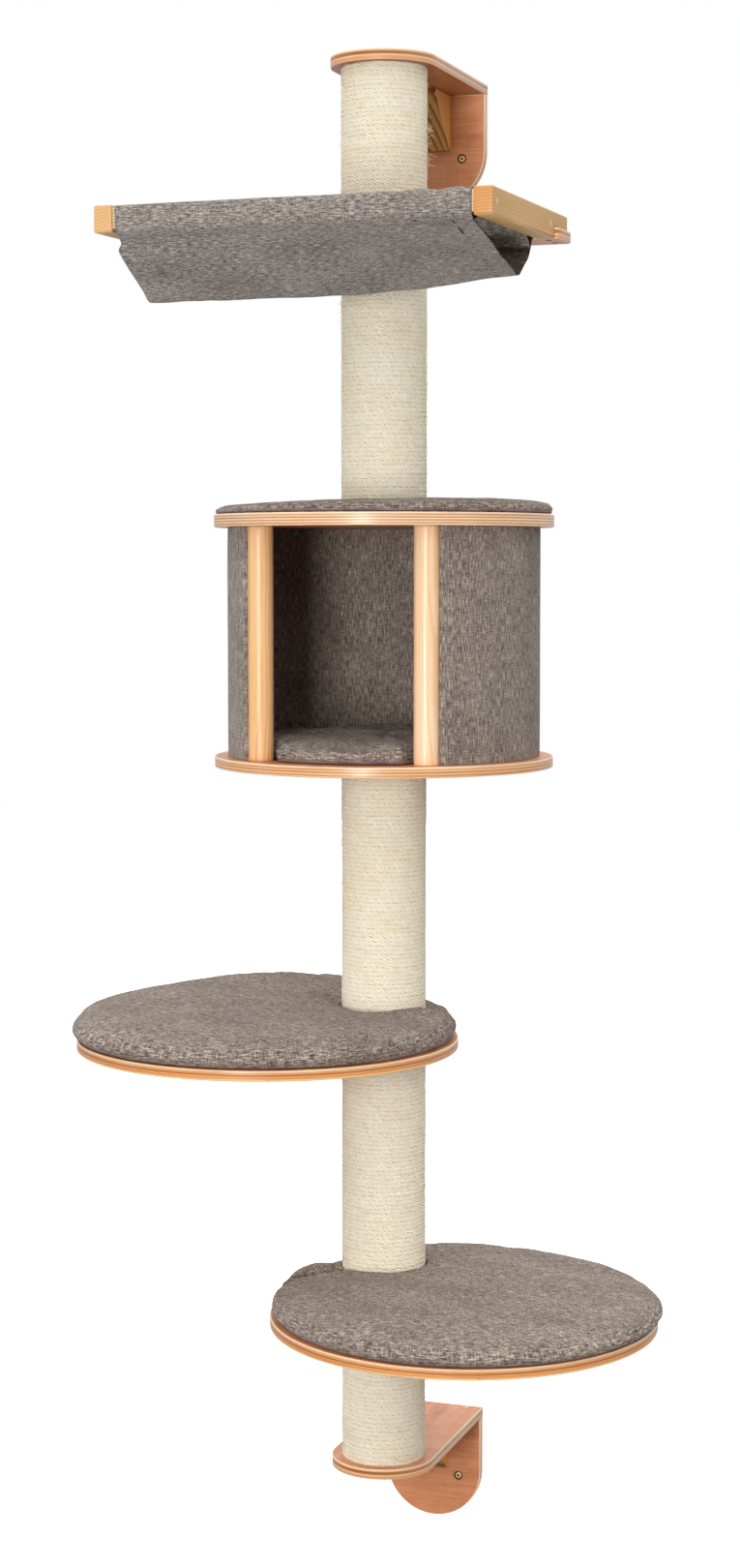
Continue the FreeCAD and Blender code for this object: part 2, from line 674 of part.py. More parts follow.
# ================================================================ build, test, write
doc.recompute()
bad = []
for o in ALL:
    if "Invalid" in o.State or "Error" in o.State or not o.isValid():
        bad.append((o.Name, list(o.State)))
for label, o in NODES.items():
    if o.Shape.isNull() or not o.Shape.isValid() or not o.Shape.Solids:
        bad.append((label, "shape"))
if bad:
    raise RuntimeError("these objects failed: %s" % bad)

os.makedirs("parts", exist_ok=True)
for label, o in NODES.items():
    sh = o.Shape
    bb = sh.BoundBox
    print("%-22s solids %2d  vol %11.1f  x %8.2f %8.2f  y %8.2f %8.2f  z %8.2f %8.2f" % (
        label, len(sh.Solids), sh.Volume, bb.XMin, bb.XMax, bb.YMin, bb.YMax, bb.ZMin, bb.ZMax))
    sh.exportStep("parts/%s.step" % label)
print("nodes", len(NODES))
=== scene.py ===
import bpy, math
import numpy as np
from mathutils import Vector, Matrix
from mathutils.geometry import tessellate_polygon


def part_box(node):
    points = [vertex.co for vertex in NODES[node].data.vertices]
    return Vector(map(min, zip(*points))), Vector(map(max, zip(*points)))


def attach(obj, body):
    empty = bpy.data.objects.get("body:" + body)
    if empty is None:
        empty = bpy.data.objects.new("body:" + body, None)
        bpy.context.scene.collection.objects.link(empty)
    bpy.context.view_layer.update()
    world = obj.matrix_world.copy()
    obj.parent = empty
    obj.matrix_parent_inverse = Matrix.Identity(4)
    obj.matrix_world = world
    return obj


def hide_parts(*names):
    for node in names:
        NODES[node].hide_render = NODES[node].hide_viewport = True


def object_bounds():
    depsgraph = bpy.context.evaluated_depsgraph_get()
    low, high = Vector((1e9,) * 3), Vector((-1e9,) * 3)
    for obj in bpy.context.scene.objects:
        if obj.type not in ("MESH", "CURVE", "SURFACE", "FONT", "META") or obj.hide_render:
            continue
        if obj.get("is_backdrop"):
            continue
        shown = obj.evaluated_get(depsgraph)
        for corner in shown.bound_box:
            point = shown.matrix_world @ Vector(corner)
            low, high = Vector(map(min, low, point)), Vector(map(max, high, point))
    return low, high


# Wall mounted cat tree. Lengths in metres. The wall is the plane Y = 0, the room is towards -Y, Z is up.
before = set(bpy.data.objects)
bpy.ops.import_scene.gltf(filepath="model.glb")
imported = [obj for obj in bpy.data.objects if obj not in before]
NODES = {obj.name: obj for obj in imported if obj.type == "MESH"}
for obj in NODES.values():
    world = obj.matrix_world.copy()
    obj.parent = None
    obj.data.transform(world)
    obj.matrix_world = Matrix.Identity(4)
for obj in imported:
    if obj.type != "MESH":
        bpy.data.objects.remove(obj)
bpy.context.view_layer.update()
SCENE = bpy.context.scene
PY = -0.25            # the post's axis stands at X = 0, Y = PY
PI = math.pi


# ---------------------------------------------------------------- noise
def _hash(ix, iy, iz, seed):
    with np.errstate(over="ignore"):
        h = (ix.astype(np.uint32) * np.uint32(374761393) + iy.astype(np.uint32) * np.uint32(668265263)
             + iz.astype(np.uint32) * np.uint32(2147483647) + np.uint32(seed) * np.uint32(1274126177))
        h = (h ^ (h >> np.uint32(13))) * np.uint32(1274126177)
        h = h ^ (h >> np.uint32(16))
    return h.astype(np.float64) / 4294967295.0


def vnoise(x, y, z=0.0, seed=1):
    """Smooth value noise from -1 to 1."""
    x, y, z = np.broadcast_arrays(np.asarray(x, float), np.asarray(y, float), np.asarray(z, float))
    xi, yi, zi = np.floor(x), np.floor(y), np.floor(z)
    fx, fy, fz = x - xi, y - yi, z - zi
    fx, fy, fz = (f * f * f * (f * (f * 6 - 15) + 10) for f in (fx, fy, fz))
    xi, yi, zi = (k.astype(np.int64) for k in (xi, yi, zi))
    out = 0.0
    for dx in (0, 1):
        for dy in (0, 1):
            for dz in (0, 1):
                w = (fx if dx else 1 - fx) * (fy if dy else 1 - fy) * (fz if dz else 1 - fz)
                out = out + w * _hash(xi + dx, yi + dy, zi + dz, seed)
    return out * 2 - 1


def fbm(x, y, z=0.0, seed=1, octaves=3, gain=0.5):
    total, amp, f = 0.0, 1.0, 1.0
    for k in range(octaves):
        total = total + amp * vnoise(np.asarray(x) * f, np.asarray(y) * f, np.asarray(z) * f, seed + 17 * k)
        amp *= gain
        f *= 2.03
    return total


def smooth(a, b, x):
    t = np.clip((np.asarray(x, float) - a) / (b - a), 0, 1)
    return t * t * (3 - 2 * t)


# ---------------------------------------------------------------- meshes
def add_mesh(name, verts, faces, mats, fmats=None, uvs=None, flat=None, body=None, reps=()):
    me = bpy.data.meshes.new(name)
    me.from_pydata(np.asarray(verts, float).tolist(), [], [list(map(int, f)) for f in faces])
    for m in mats:
        me.materials.append(m)
    n = len(me.polygons)
    if fmats is not None:
        me.polygons.foreach_set("material_index", np.asarray(fmats, np.int32))
    sm = np.ones(n, bool)
    if flat is not None:
        sm[np.asarray(flat, bool)] = False
    me.polygons.foreach_set("use_smooth", sm)
    for uname, data in (uvs or {}).items():
        layer = me.uv_layers.new(name=uname)
        layer.data.foreach_set("uv", np.asarray(data, np.float32).reshape(-1))
    me.update()
    ob = bpy.data.objects.new(name, me)
    SCENE.collection.objects.link(ob)
    if body:
        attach(ob, body)
    if reps:
        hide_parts(*reps)
    return ob


def grid_faces(nu, nv, wu=False, wv=False):
    """Quads of a grid whose vertex (i, j) has index i * nv + j, and each corner's own i and j."""
    cu, cv = (nu if wu else nu - 1), (nv if wv else nv - 1)
    i, j = np.meshgrid(np.arange(cu), np.arange(cv), indexing="ij")
    i, j = i.ravel(), j.ravel()
    ci = np.stack([i, i + 1, i + 1, i], 1)
    cj = np.stack([j, j, j + 1, j + 1], 1)
    return (ci % nu) * nv + (cj % nv), ci, cj


def rounded(points, radii, n=8):
    """A polygon with its corners rounded: points in order, one radius each."""
    out = []
    m = len(points)
    for k in range(m):
        p0, p1, p2 = (np.array(points[(k + d) % m], float) for d in (-1, 0, 1))
        r = radii[k]
        if r <= 0:
            out.append(p1)
            continue
        a, b = p0 - p1, p2 - p1
        la, lb = np.linalg.norm(a), np.linalg.norm(b)
        a, b = a / la, b / lb
        half = math.acos(max(-1, min(1, a @ b))) / 2
        t = min(r / math.tan(half), 0.49 * la, 0.49 * lb)
        r = t * math.tan(half)
        c = p1 + (a + b) / np.linalg.norm(a + b) * r / math.sin(half)
        s, e = p1 + a * t - c, p1 + b * t - c
        ang = math.acos(max(-1, min(1, (s @ e) / (r * r))))
        sign = 1 if s[0] * e[1] - s[1] * e[0] > 0 else -1
        steps = max(2, int(math.ceil(n * ang / (PI / 2))))
        for q in range(steps + 1):
            t1 = sign * ang * q / steps
            out.append(c + np.array([s[0] * math.cos(t1) - s[1] * math.sin(t1), s[0] * math.sin(t1) + s[1] * math.cos(t1)]))
    return np.array(out)


def circle(cx, cy, r, n=192, a0=0.0):
    t = a0 + np.arange(n) / n * 2 * PI
    return np.stack([cx + r * np.cos(t), cy + r * np.sin(t)], 1)


def board(name, outline, h0, h1, place, mats, arris=0.0012, arris_steps=3, features=(), edge_mat=None, body=None,
          reps=()):
    """A board cut to outline, counter-clockwise in its own (a, b) plane, from h0 to h1, with softly rounded arrises.
    features are holes: (centre, side, [(radius, depth), ...]) with side 1 for the h1 face, 0 for the h0 face.
    place maps arrays (a, b, h) to XYZ. Material 0 is the face, 1 the edge, 2 a hole's inside."""
    P = np.asarray(outline, float)
    area = 0.5 * np.sum(P[:, 0] * np.roll(P[:, 1], -1) - np.roll(P[:, 0], -1) * P[:, 1])
    if area < 0:
        P = P[::-1]
    keep = np.linalg.norm(P - np.roll(P, 1, 0), axis=1) > 1e-7
    P = P[keep]
    n = len(P)
    e = np.roll(P, -1, 0) - P
    e /= np.linalg.norm(e, axis=1)[:, None]
    en = np.stack([e[:, 1], -e[:, 0]], 1)
    nrm = en + np.roll(en, 1, 0)
    nrm /= np.linalg.norm(nrm, axis=1)[:, None]
    nrm /= np.clip((nrm * en).sum(1), 0.5, 1)[:, None]
    rings = []
    for k in range(arris_steps + 1):
        t = k / arris_steps * PI / 2
        rings.append((arris * (1 - math.sin(t)), h0 + arris * (1 - math.cos(t))))
    mids = 4
    for k in range(1, mids):
        rings.append((0.0, h0 + arris + (h1 - h0 - 2 * arris) * k / mids))
    for k in range(arris_steps, -1, -1):
        t = k / arris_steps * PI / 2
        rings.append((arris * (1 - math.sin(t)), h1 - arris * (1 - math.cos(t))))
    verts, faces, fm, flat, uv = [], [], [], [], []
    for inset, h in rings:
        Q = P - nrm * inset
        verts += [(q[0], q[1], h) for q in Q]
    arc = np.concatenate([[0], np.cumsum(np.linalg.norm(np.roll(P, -1, 0) - P, axis=1))])
    for k in range(len(rings) - 1):
        for i in range(n):
            j = (i + 1) % n
            a, b, c, d = k * n + i, k * n + j, (k + 1) * n + j, (k + 1) * n + i
            faces.append((a, b, c, d))
            fm.append(edge_mat(nrm[i], en[i]) if edge_mat else 1)
            flat.append(False)
            z0, z1 = rings[k][1] - h0, rings[k + 1][1] - h0
            uv += [(arc[i], z0), (arc[i + 1], z0), (arc[i + 1], z1), (arc[i], z1)]
    for side in (0, 1):
        base = (len(rings) - 1) * n if side else 0
        loops = [list(range(base, base + n))]
        for (ca, cb), s, prof in features:
            if s != side:
                continue
            m = 28
            first = len(verts)
            sgn = -1 if side else 1
            hface = h1 if side else h0
            for r, dep in prof:
                verts += [(ca + r * math.cos(2 * PI * q / m), cb + r * math.sin(2 * PI * q / m), hface + sgn * dep) for q in range(m)]
            for k in range(len(prof) - 1):
                for q in range(m):
                    w = (q + 1) % m
                    f = (first + k * m + q, first + k * m + w, first + (k + 1) * m + w, first + (k + 1) * m + q)
                    faces.append(f if not side else f[::-1])
                    fm.append(2)
                    flat.append(False)
                    uv += [(verts[x][0], verts[x][1]) for x in faces[-1]]
            last = first + (len(prof) - 1) * m
            cap = list(range(last, last + m))
            faces.append(cap if side else cap[::-1])
            fm.append(2)
            flat.append(True)
            uv += [(verts[x][0], verts[x][1]) for x in faces[-1]]
            loops.append(list(range(first, first + m)))
        if len(loops) == 1:
            ring = loops[0]
            f = ring if side else ring[::-1]
            faces.append(f)
            fm.append(0)
            flat.append(True)
            uv += [(verts[x][0], verts[x][1]) for x in f]
        else:
            ids = [x for lp in loops for x in lp]
            tris = tessellate_polygon([[Vector((verts[x][0], verts[x][1], 0)) for x in lp] for lp in loops])
            for t in tris:
                f = [ids[x] for x in t]
                p = [verts[x] for x in f]
                s = (p[1][0] - p[0][0]) * (p[2][1] - p[0][1]) - (p[2][0] - p[0][0]) * (p[1][1] - p[0][1])
                if abs(s) < 1e-14:
                    continue
                if (s > 0) != bool(side):
                    f = f[::-1]
                faces.append(f)
                fm.append(0)
                flat.append(True)
                uv += [(verts[x][0], verts[x][1]) for x in f]
    V = np.array(verts)
    X, Y, Z = place(V[:, 0], V[:, 1], V[:, 2])
    W = np.stack([X, Y, Z], 1)
    # the map may mirror the board, so the faces are turned to point outwards
    q = np.array([[0, 0, 0], [1, 0, 0], [0, 1, 0], [0, 0, 1.0]])
    m = np.stack(place(q[:, 0], q[:, 1], q[:, 2]), 1)
    if np.linalg.det(m[1:] - m[0]) < 0:
        k, out_uv = 0, []
        for x, f in enumerate(faces):
            c = len(f)
            out_uv += uv[k:k + c][::-1]
            k += c
            faces[x] = list(f)[::-1]
        uv = out_uv
    return add_mesh(name, W, faces, mats, fm, {"Ply": uv}, flat, body, reps)


def lathe(name, profile, cx, cy, mats, n=96, body=None, reps=(), fm=None):
    """profile: (radius, z) from the bottom centre, round the outside, to the top centre."""
    verts, faces, fmats = [], [], []
    m = len(profile)
    for r, z in profile:
        verts += [(cx + r * math.cos(2 * PI * q / n), cy + r * math.sin(2 * PI * q / n), z) for q in range(n)]
    for k in range(m - 1):
        for q in range(n):
            w = (q + 1) % n
            faces.append((k * n + q, k * n + w, (k + 1) * n + w, (k + 1) * n + q))
            fmats.append(fm[k] if fm else 0)
    faces.append(list(range(n))[::-1])
    faces.append(list(range((m - 1) * n, m * n)))
    fmats += [fm[0] if fm else 0, fm[-1] if fm else 0]
    flat = [False] * (len(faces) - 2) + [True, True]
    return add_mesh(name, verts, faces, mats, fmats, None, flat, body, reps)


def tubes(paths, radius, sides=5):
    """Vertices and faces of thin closed tubes along the paths; radius is a number or one per path."""
    V, F = [], []
    for k, path in enumerate(paths):
        p = np.asarray(path, float)
        r = radius if np.isscalar(radius) else radius[k]
        t = np.gradient(p, axis=0)
        t /= np.linalg.norm(t, axis=1)[:, None] + 1e-12
        up = np.array([0.0, 0.0, 1.0]) if abs(t[0][2]) < 0.9 else np.array([1.0, 0.0, 0.0])
        n1 = np.cross(t, up)
        n1 /= np.linalg.norm(n1, axis=1)[:, None] + 1e-12
        n2 = np.cross(t, n1)
        base = len(V)
        m = len(p)
        taper = np.ones(m)
        taper[0] = taper[-1] = 0.55
        for i in range(m):
            for s in range(sides):
                a = 2 * PI * s / sides
                V.append(p[i] + (n1[i] * math.cos(a) + n2[i] * math.sin(a)) * r * taper[i])
        for i in range(m - 1):
            for s in range(sides):
                w = (s + 1) % sides
                F.append((base + i * sides + s, base + i * sides + w, base + (i + 1) * sides + w, base + (i + 1) * sides + s))
        F.append([base + s for s in range(sides)][::-1])
        F.append([base + (m - 1) * sides + s for s in range(sides)])
    return V, F


# ---------------------------------------------------------------- materials
def lin(h, k=1.0):
    c = [int(h[i:i + 2], 16) / 255 for i in (1, 3, 5)]
    return tuple(min(1.0, k * (x / 12.92 if x <= 0.04045 else ((x + 0.055) / 1.055) ** 2.4)) for x in c) + (1.0,)


class Graph:
    def __init__(self, name):
        self.mat = bpy.data.materials.new(name)
        self.mat.use_nodes = True
        self.nt = self.mat.node_tree
        self.nt.nodes.clear()
        out = self.nt.nodes.new("ShaderNodeOutputMaterial")
        self.b = self.nt.nodes.new("ShaderNodeBsdfPrincipled")
        self.nt.links.new(self.b.outputs[0], out.inputs[0])

    def n(self, kind, ins=None, **props):
        nd = self.nt.nodes.new(kind)
        for k, v in props.items():
            setattr(nd, k, v)
        for k, v in (ins or {}).items():
            self.put(nd.inputs[k], v)
        return nd

    def put(self, sock, v):
        if isinstance(v, bpy.types.NodeSocket):
            self.nt.links.new(v, sock)
        else:
            sock.default_value = v

    def m(self, op, a, b=None, c=None, clamp=False):
        nd = self.nt.nodes.new("ShaderNodeMath")
        nd.operation = op
        nd.use_clamp = clamp
        for k, v in enumerate((a, b, c)):
            if v is not None:
                self.put(nd.inputs[k], v)
        return nd.outputs[0]

    def vm(self, op, a, b=None):
        nd = self.nt.nodes.new("ShaderNodeVectorMath")
        nd.operation = op
        self.put(nd.inputs[0], a)
        if b is not None:
            self.put(nd.inputs[1], b)
        return nd.outputs["Value"] if op in ("LENGTH", "DOT_PRODUCT") else nd.outputs[0]

    def mix(self, f, a, b, kind="MIX"):
        nd = self.nt.nodes.new("ShaderNodeMix")
        nd.data_type = "RGBA"
        nd.blend_type = kind
        self.put(nd.inputs[0], f)
        self.put(nd.inputs[6], a)
        self.put(nd.inputs[7], b)
        return nd.outputs[2]

    def ramp(self, f, stops, interp="LINEAR"):
        nd = self.nt.nodes.new("ShaderNodeValToRGB")
        cr = nd.color_ramp
        cr.interpolation = interp
        while len(cr.elements) < len(stops):
            cr.elements.new(0.5)
        for el, (p, c) in zip(cr.elements, stops):
            el.position = p
            el.color = c
        self.put(nd.inputs[0], f)
        return nd.outputs[0]

    def noise(self, vec, scale=1.0, detail=3.0, rough=0.55, dist=0.0, dims="3D"):
        nd = self.nt.nodes.new("ShaderNodeTexNoise")
        nd.noise_dimensions = dims
        self.put(nd.inputs["Vector"], vec)
        nd.inputs["Scale"].default_value = scale
        nd.inputs["Detail"].default_value = detail
        nd.inputs["Roughness"].default_value = rough
        nd.inputs["Distortion"].default_value = dist
        return nd.outputs["Fac"]

    def map(self, vec, scale=(1, 1, 1), rot=(0, 0, 0), loc=(0, 0, 0)):
        nd = self.nt.nodes.new("ShaderNodeMapping")
        self.put(nd.inputs["Vector"], vec)
        nd.inputs["Scale"].default_value = scale
        nd.inputs["Rotation"].default_value = rot
        nd.inputs["Location"].default_value = loc
        return nd.outputs[0]

    def uv(self, name):
        return self.n("ShaderNodeUVMap", uv_map=name).outputs[0]

    def obj(self):
        return self.n("ShaderNodeTexCoord").outputs["Object"]

    def xyz(self, v):
        nd = self.n("ShaderNodeSeparateXYZ", {0: v})
        return nd.outputs[0], nd.outputs[1], nd.outputs[2]

    def vec(self, x, y, z=0.0):
        nd = self.nt.nodes.new("ShaderNodeCombineXYZ")
        for k, v in enumerate((x, y, z)):
            self.put(nd.inputs[k], v)
        return nd.outputs[0]

    def bump(self, h, dist, strength=1.0, normal=None):
        nd = self.nt.nodes.new("ShaderNodeBump")
        nd.inputs["Strength"].default_value = strength
        nd.inputs["Distance"].default_value = dist
        self.put(nd.inputs["Height"], h)
        if normal is not None:
            self.put(nd.inputs["Normal"], normal)
        return nd.outputs[0]

    def done(self, color, rough, normal=None, spec=0.5, sheen=0.0, sheen_rough=0.5, coat=0.0, coat_rough=0.1, metal=0.0):
        b = self.b.inputs
        self.put(b["Base Color"], color)
        self.put(b["Roughness"], rough)
        b["Specular IOR Level"].default_value = spec
        b["Sheen Weight"].default_value = sheen
        b["Sheen Roughness"].default_value = sheen_rough
        b["Coat Weight"].default_value = coat
        b["Coat Roughness"].default_value = coat_rough
        b["Metallic"].default_value = metal
        if normal is not None:
            self.put(b["Normal"], normal)
        return self.mat


def fabric(name, stops, seed=0.0, upright=False, contrast=1.0, cross=1.0, yarn=(92, 520), fine=860):
    """Melange cloth. Its map Cloth is in metres: across the piece first, then up it. The thick yarns run along the first,
    or with upright along the second."""
    g = Graph(name)
    uv = g.uv("Cloth")
    if upright:
        x, y, _ = g.xyz(uv)
        uv = g.vec(y, x)
    weft = g.noise(g.map(uv, (yarn[0], yarn[1], 1), loc=(seed, 3.1 + seed, 0)), 1.0, 2.5, 0.6, dims="2D")
    weft2 = g.noise(g.map(uv, (yarn[0] * 0.4, yarn[1] * 0.55, 1), loc=(9.7 + seed, seed, 0)), 1.0, 2.0, 0.6, dims="2D")
    warp = g.noise(g.map(uv, (yarn[1] * 0.95, yarn[0] * 1.1, 1), loc=(4.2, 7.7 + seed, 0)), 1.0, 2.5, 0.6, dims="2D")
    pepper = g.noise(g.map(uv, (fine, fine, 1), loc=(1.2, 8.7, 0)), 1.0, 2.5, 0.7, dims="2D")
    cloud = g.noise(g.map(uv, (9, 18, 1), loc=(seed * 2, 5.5, 0)), 1.0, 3.0, 0.6, dims="2D")
    x, y, _ = g.xyz(uv)
    wob = g.m("MULTIPLY", g.m("SUBTRACT", g.noise(g.map(uv, (60, 60, 1)), 1.0, 2.0, 0.5, dims="2D"), 0.5), 2.2)
    sx = g.m("SINE", g.m("ADD", g.m("MULTIPLY", x, 2 * PI / 0.00190), wob))
    sy = g.m("SINE", g.m("ADD", g.m("MULTIPLY", y, 2 * PI / 0.00155), wob))
    weave = g.m("MULTIPLY", sx, sy)
    v = g.m("MULTIPLY_ADD", g.m("SUBTRACT", weft, 0.5), 1.08 * contrast, 0.5)
    v = g.m("MULTIPLY_ADD", g.m("SUBTRACT", weft2, 0.5), 0.32 * contrast, v)
    v = g.m("MULTIPLY_ADD", g.m("SUBTRACT", warp, 0.5), 0.62 * cross * contrast, v)
    v = g.m("MULTIPLY_ADD", g.m("SUBTRACT", pepper, 0.5), 0.80 * contrast, v)
    v = g.m("MULTIPLY_ADD", g.m("SUBTRACT", cloud, 0.5), 0.24 * contrast, v)
    v = g.m("MULTIPLY_ADD", weave, 0.070 * contrast, v)
    col = g.ramp(v, [(0.14, stops[0]), (0.38, stops[1]), (0.55, stops[2]), (0.86, stops[3])])
    hgt = g.m("MULTIPLY_ADD", weave, 0.5, g.m("MULTIPLY", v, 1.3))
    nrm = g.bump(hgt, 0.00045, 0.65)
    rough = g.m("MULTIPLY_ADD", v, -0.12, 0.96, clamp=True)
    return g.done(col, rough, nrm, spec=0.18, sheen=0.12, sheen_rough=0.45)


def veneer(name, dark, mid, light, along=1, seed=0.0, gloss=0.42):
    """The face of a plywood board, grain along axis 0 or 1 of its map Ply, which is in metres."""
    g = Graph(name)
    uv = g.uv("Ply")
    x, y, _ = g.xyz(uv)
    if along == 0:
        x, y = y, x
    v = g.vec(x, y)
    warp = g.noise(g.map(v, (14, 3.0, 1), loc=(seed, seed, 0)), 1.0, 3.0, 0.5, dims="2D")
    v2 = g.vec(g.m("MULTIPLY_ADD", g.m("SUBTRACT", warp, 0.5), 0.012, x), y)
    grain = g.noise(g.map(v2, (420, 11, 1), loc=(seed, 0, 0)), 1.0, 5.0, 0.62, dims="2D")
    bands = g.noise(g.map(v2, (38, 1.6, 1), loc=(seed, 2, 0)), 1.0, 3.0, 0.55, dims="2D")
    pores = g.noise(g.map(v2, (1700, 75, 1), loc=(seed, 1, 0)), 1.0, 2.0, 0.5, dims="2D")
    fleck = g.ramp(pores, [(0.60, (0, 0, 0, 1)), (0.72, (1, 1, 1, 1))])
    blot = g.noise(g.map(v2, (22, 22, 1), loc=(seed, 6, 0)), 1.0, 3.0, 0.6, dims="2D")
    t = g.m("MULTIPLY_ADD", g.m("SUBTRACT", grain, 0.5), 0.55, g.m("MULTIPLY_ADD", g.m("SUBTRACT", bands, 0.5), 0.45, 0.52))
    t = g.m("MULTIPLY_ADD", g.m("SUBTRACT", blot, 0.5), 0.45, t)
    col = g.ramp(t, [(0.2, dark), (0.5, mid), (0.85, light)])
    col = g.mix(g.m("MULTIPLY", fleck, 0.38), col, tuple(c * 0.5 for c in dark[:3]) + (1,))
    nrm = g.bump(g.m("SUBTRACT", grain, g.m("MULTIPLY", fleck, 0.6)), 0.00012, 0.5)
    return g.done(col, g.m("MULTIPLY_ADD", grain, 0.16, gloss - 0.08), nrm, spec=0.4, coat=0.12, coat_rough=0.28)


def ply_edge(name, thickness, bands, seed=0.0, swing=0.0):
    """The laminated edge of a plywood board. Map Ply: along the edge, then up it, in metres.
    bands: (height as a share of the thickness, colour), from the lower face up. With swing the plies change over round the board."""
    g = Graph(name)
    x, y, _ = g.xyz(g.uv("Ply"))
    wav = g.noise(g.vec(g.m("MULTIPLY", x, 9.0), seed), 1.0, 2.0, 0.5, dims="2D")
    t = g.m("DIVIDE", y, thickness)
    t = g.m("MULTIPLY_ADD", g.m("SUBTRACT", wav, 0.5), 0.008, t)
    col = g.ramp(t, [(h, lin(c)) for h, c in bands], "CONSTANT")
    glue = None
    for h, _c in bands[1:]:
        d = g.m("ABSOLUTE", g.m("SUBTRACT", t, h))
        line = g.m("SUBTRACT", 1.0, g.m("DIVIDE", d, 0.016), clamp=True)
        glue = line if glue is None else g.m("MAXIMUM", glue, line)
    streak = g.noise(g.vec(g.m("MULTIPLY", x, 38.0), g.m("MULTIPLY_ADD", y, 2600.0, seed)), 1.0, 4.0, 0.65, dims="2D")
    fine = g.noise(g.vec(g.m("MULTIPLY", x, 650.0), g.m("MULTIPLY", y, 2600.0)), 1.0, 2.0, 0.6, dims="2D")
    slow = g.noise(g.vec(g.m("MULTIPLY", x, 5.0), g.m("MULTIPLY_ADD", y, 160.0, seed)), 1.0, 2.0, 0.5, dims="2D")
    if swing:
        nx, ny, _z = g.xyz(g.n("ShaderNodeTexCoord").outputs["Normal"])
        side = g.m("MULTIPLY", g.m("MULTIPLY", nx, nx), swing)
        col = g.mix(side, col, lin("#E3B98A"))
    v = g.m("MULTIPLY_ADD", g.m("SUBTRACT", streak, 0.5), 0.85, 0.5)
    v = g.m("MULTIPLY_ADD", g.m("SUBTRACT", fine, 0.5), 0.55, v)
    v = g.m("MULTIPLY_ADD", g.m("SUBTRACT", slow, 0.5), 0.70, v)
    tint = g.ramp(v, [(0.15, lin("#C9A07C")), (0.5, lin("#F3E8DD")), (0.85, (1, 1, 1, 1))])
    col = g.mix(0.75, col, tint, "MULTIPLY")
    col = g.mix(g.m("MULTIPLY", glue, 0.30), col, lin("#8A4E27"))
    void = g.noise(g.vec(g.m("MULTIPLY", x, 60.0), g.m("MULTIPLY_ADD", g.m("FLOOR", g.m("MULTIPLY", t, 8.0)), 5.3, 40 + seed)), 1.0, 1.0, 0.5, dims="2D")
    gap = g.m("MULTIPLY", g.ramp(void, [(0.81, (0, 0, 0, 1)), (0.84, (1, 1, 1, 1))]), g.m("COMPARE", g.m("FRACT", g.m("MULTIPLY", t, 8.0)), 0.5, 0.24))
    col = g.mix(g.m("MULTIPLY", gap, 0.55), col, lin("#5A2E14"))
    nrm = g.bump(g.m("SUBTRACT", fine, g.m("MULTIPLY", glue, 2.0)), 0.00012, 0.6)
    return g.done(col, g.m("MULTIPLY_ADD", fine, 0.14, 0.30), nrm, spec=0.45, coat=0.25, coat_rough=0.22)


def timber(name, rot, pith, light, dark, ring=0.0036, gloss=0.45, coat=0.1, seed=0.0, knots=(), knot_r=0.006, tone=1.0, late=0.6):
    """Solid pine cut from a log: rot turns the piece so that the log's axis is Z, and pith is where the heart lies.
    knots are points in the piece's own space."""
    g = Graph(name)
    p = g.obj()
    q = g.map(p, rot=rot)
    q = g.map(q, loc=(-pith[0], -pith[1], 0))
    bend = g.noise(g.map(q, (9, 9, 3.0), loc=(seed, 0, seed)), 1.0, 2.0, 0.5)
    fineb = g.noise(g.map(q, (70, 70, 7), loc=(seed, 0, seed)), 1.0, 2.0, 0.5)
    x, y, z = g.xyz(q)
    r = g.m("SQRT", g.m("ADD", g.m("MULTIPLY", x, x), g.m("MULTIPLY", y, y)))
    r = g.m("MULTIPLY_ADD", g.m("SUBTRACT", bend, 0.5), 0.020, r)
    r = g.m("MULTIPLY_ADD", g.m("SUBTRACT", fineb, 0.5), 0.0018, r)
    knot = None
    for k in knots:
        d = g.vm("LENGTH", g.vm("SUBTRACT", p, tuple(k)))
        fall = g.m("POWER", 2.718, g.m("MULTIPLY", g.m("MULTIPLY", d, d), -1.0 / (knot_r * 2.2) ** 2))
        r = g.m("MULTIPLY_ADD", fall, 0.011, r)
        core = g.ramp(g.m("DIVIDE", d, knot_r), [(0.55, (1, 1, 1, 1)), (1.0, (0, 0, 0, 1))])
        knot = core if knot is None else g.m("MAXIMUM", knot, core)
    f = g.m("FRACT", g.m("DIVIDE", r, ring))
    latew = g.ramp(f, [(0.0, (0, 0, 0, 1)), (0.45, (0.12, 0.12, 0.12, 1)), (0.86, (1, 1, 1, 1)), (0.95, (0.9, 0.9, 0.9, 1)), (1.0, (0, 0, 0, 1))])
    fibre = g.noise(g.map(q, (900, 900, 18)), 1.0, 3.0, 0.6)
    mott = g.noise(g.map(q, (24, 24, 5), loc=(2, seed, 1)), 1.0, 3.0, 0.55)
    t = g.m("MULTIPLY", latew, late)
    t = g.m("MULTIPLY_ADD", g.m("SUBTRACT", fibre, 0.5), 0.32, t)
    t = g.m("MULTIPLY_ADD", g.m("SUBTRACT", mott, 0.5), 0.75, t)
    col = g.ramp(g.m("ADD", t, 0.12), [(0.0, light), (1.0, dark)])
    if knot is not None:
        kr = g.noise(g.map(p, (500, 500, 500)), 1.0, 2.0, 0.5)
        col = g.mix(g.m("MULTIPLY", knot, g.m("MULTIPLY_ADD", kr, 0.5, 0.5)), col, lin("#8A5226"))
    nrm = g.bump(g.m("MULTIPLY_ADD", fibre, 0.5, g.m("MULTIPLY", latew, 0.6)), 0.00010, 0.6)
    return g.done(col, g.m("MULTIPLY_ADD", fibre, 0.15, gloss - 0.07), nrm, spec=0.45, coat=coat, coat_rough=0.30)


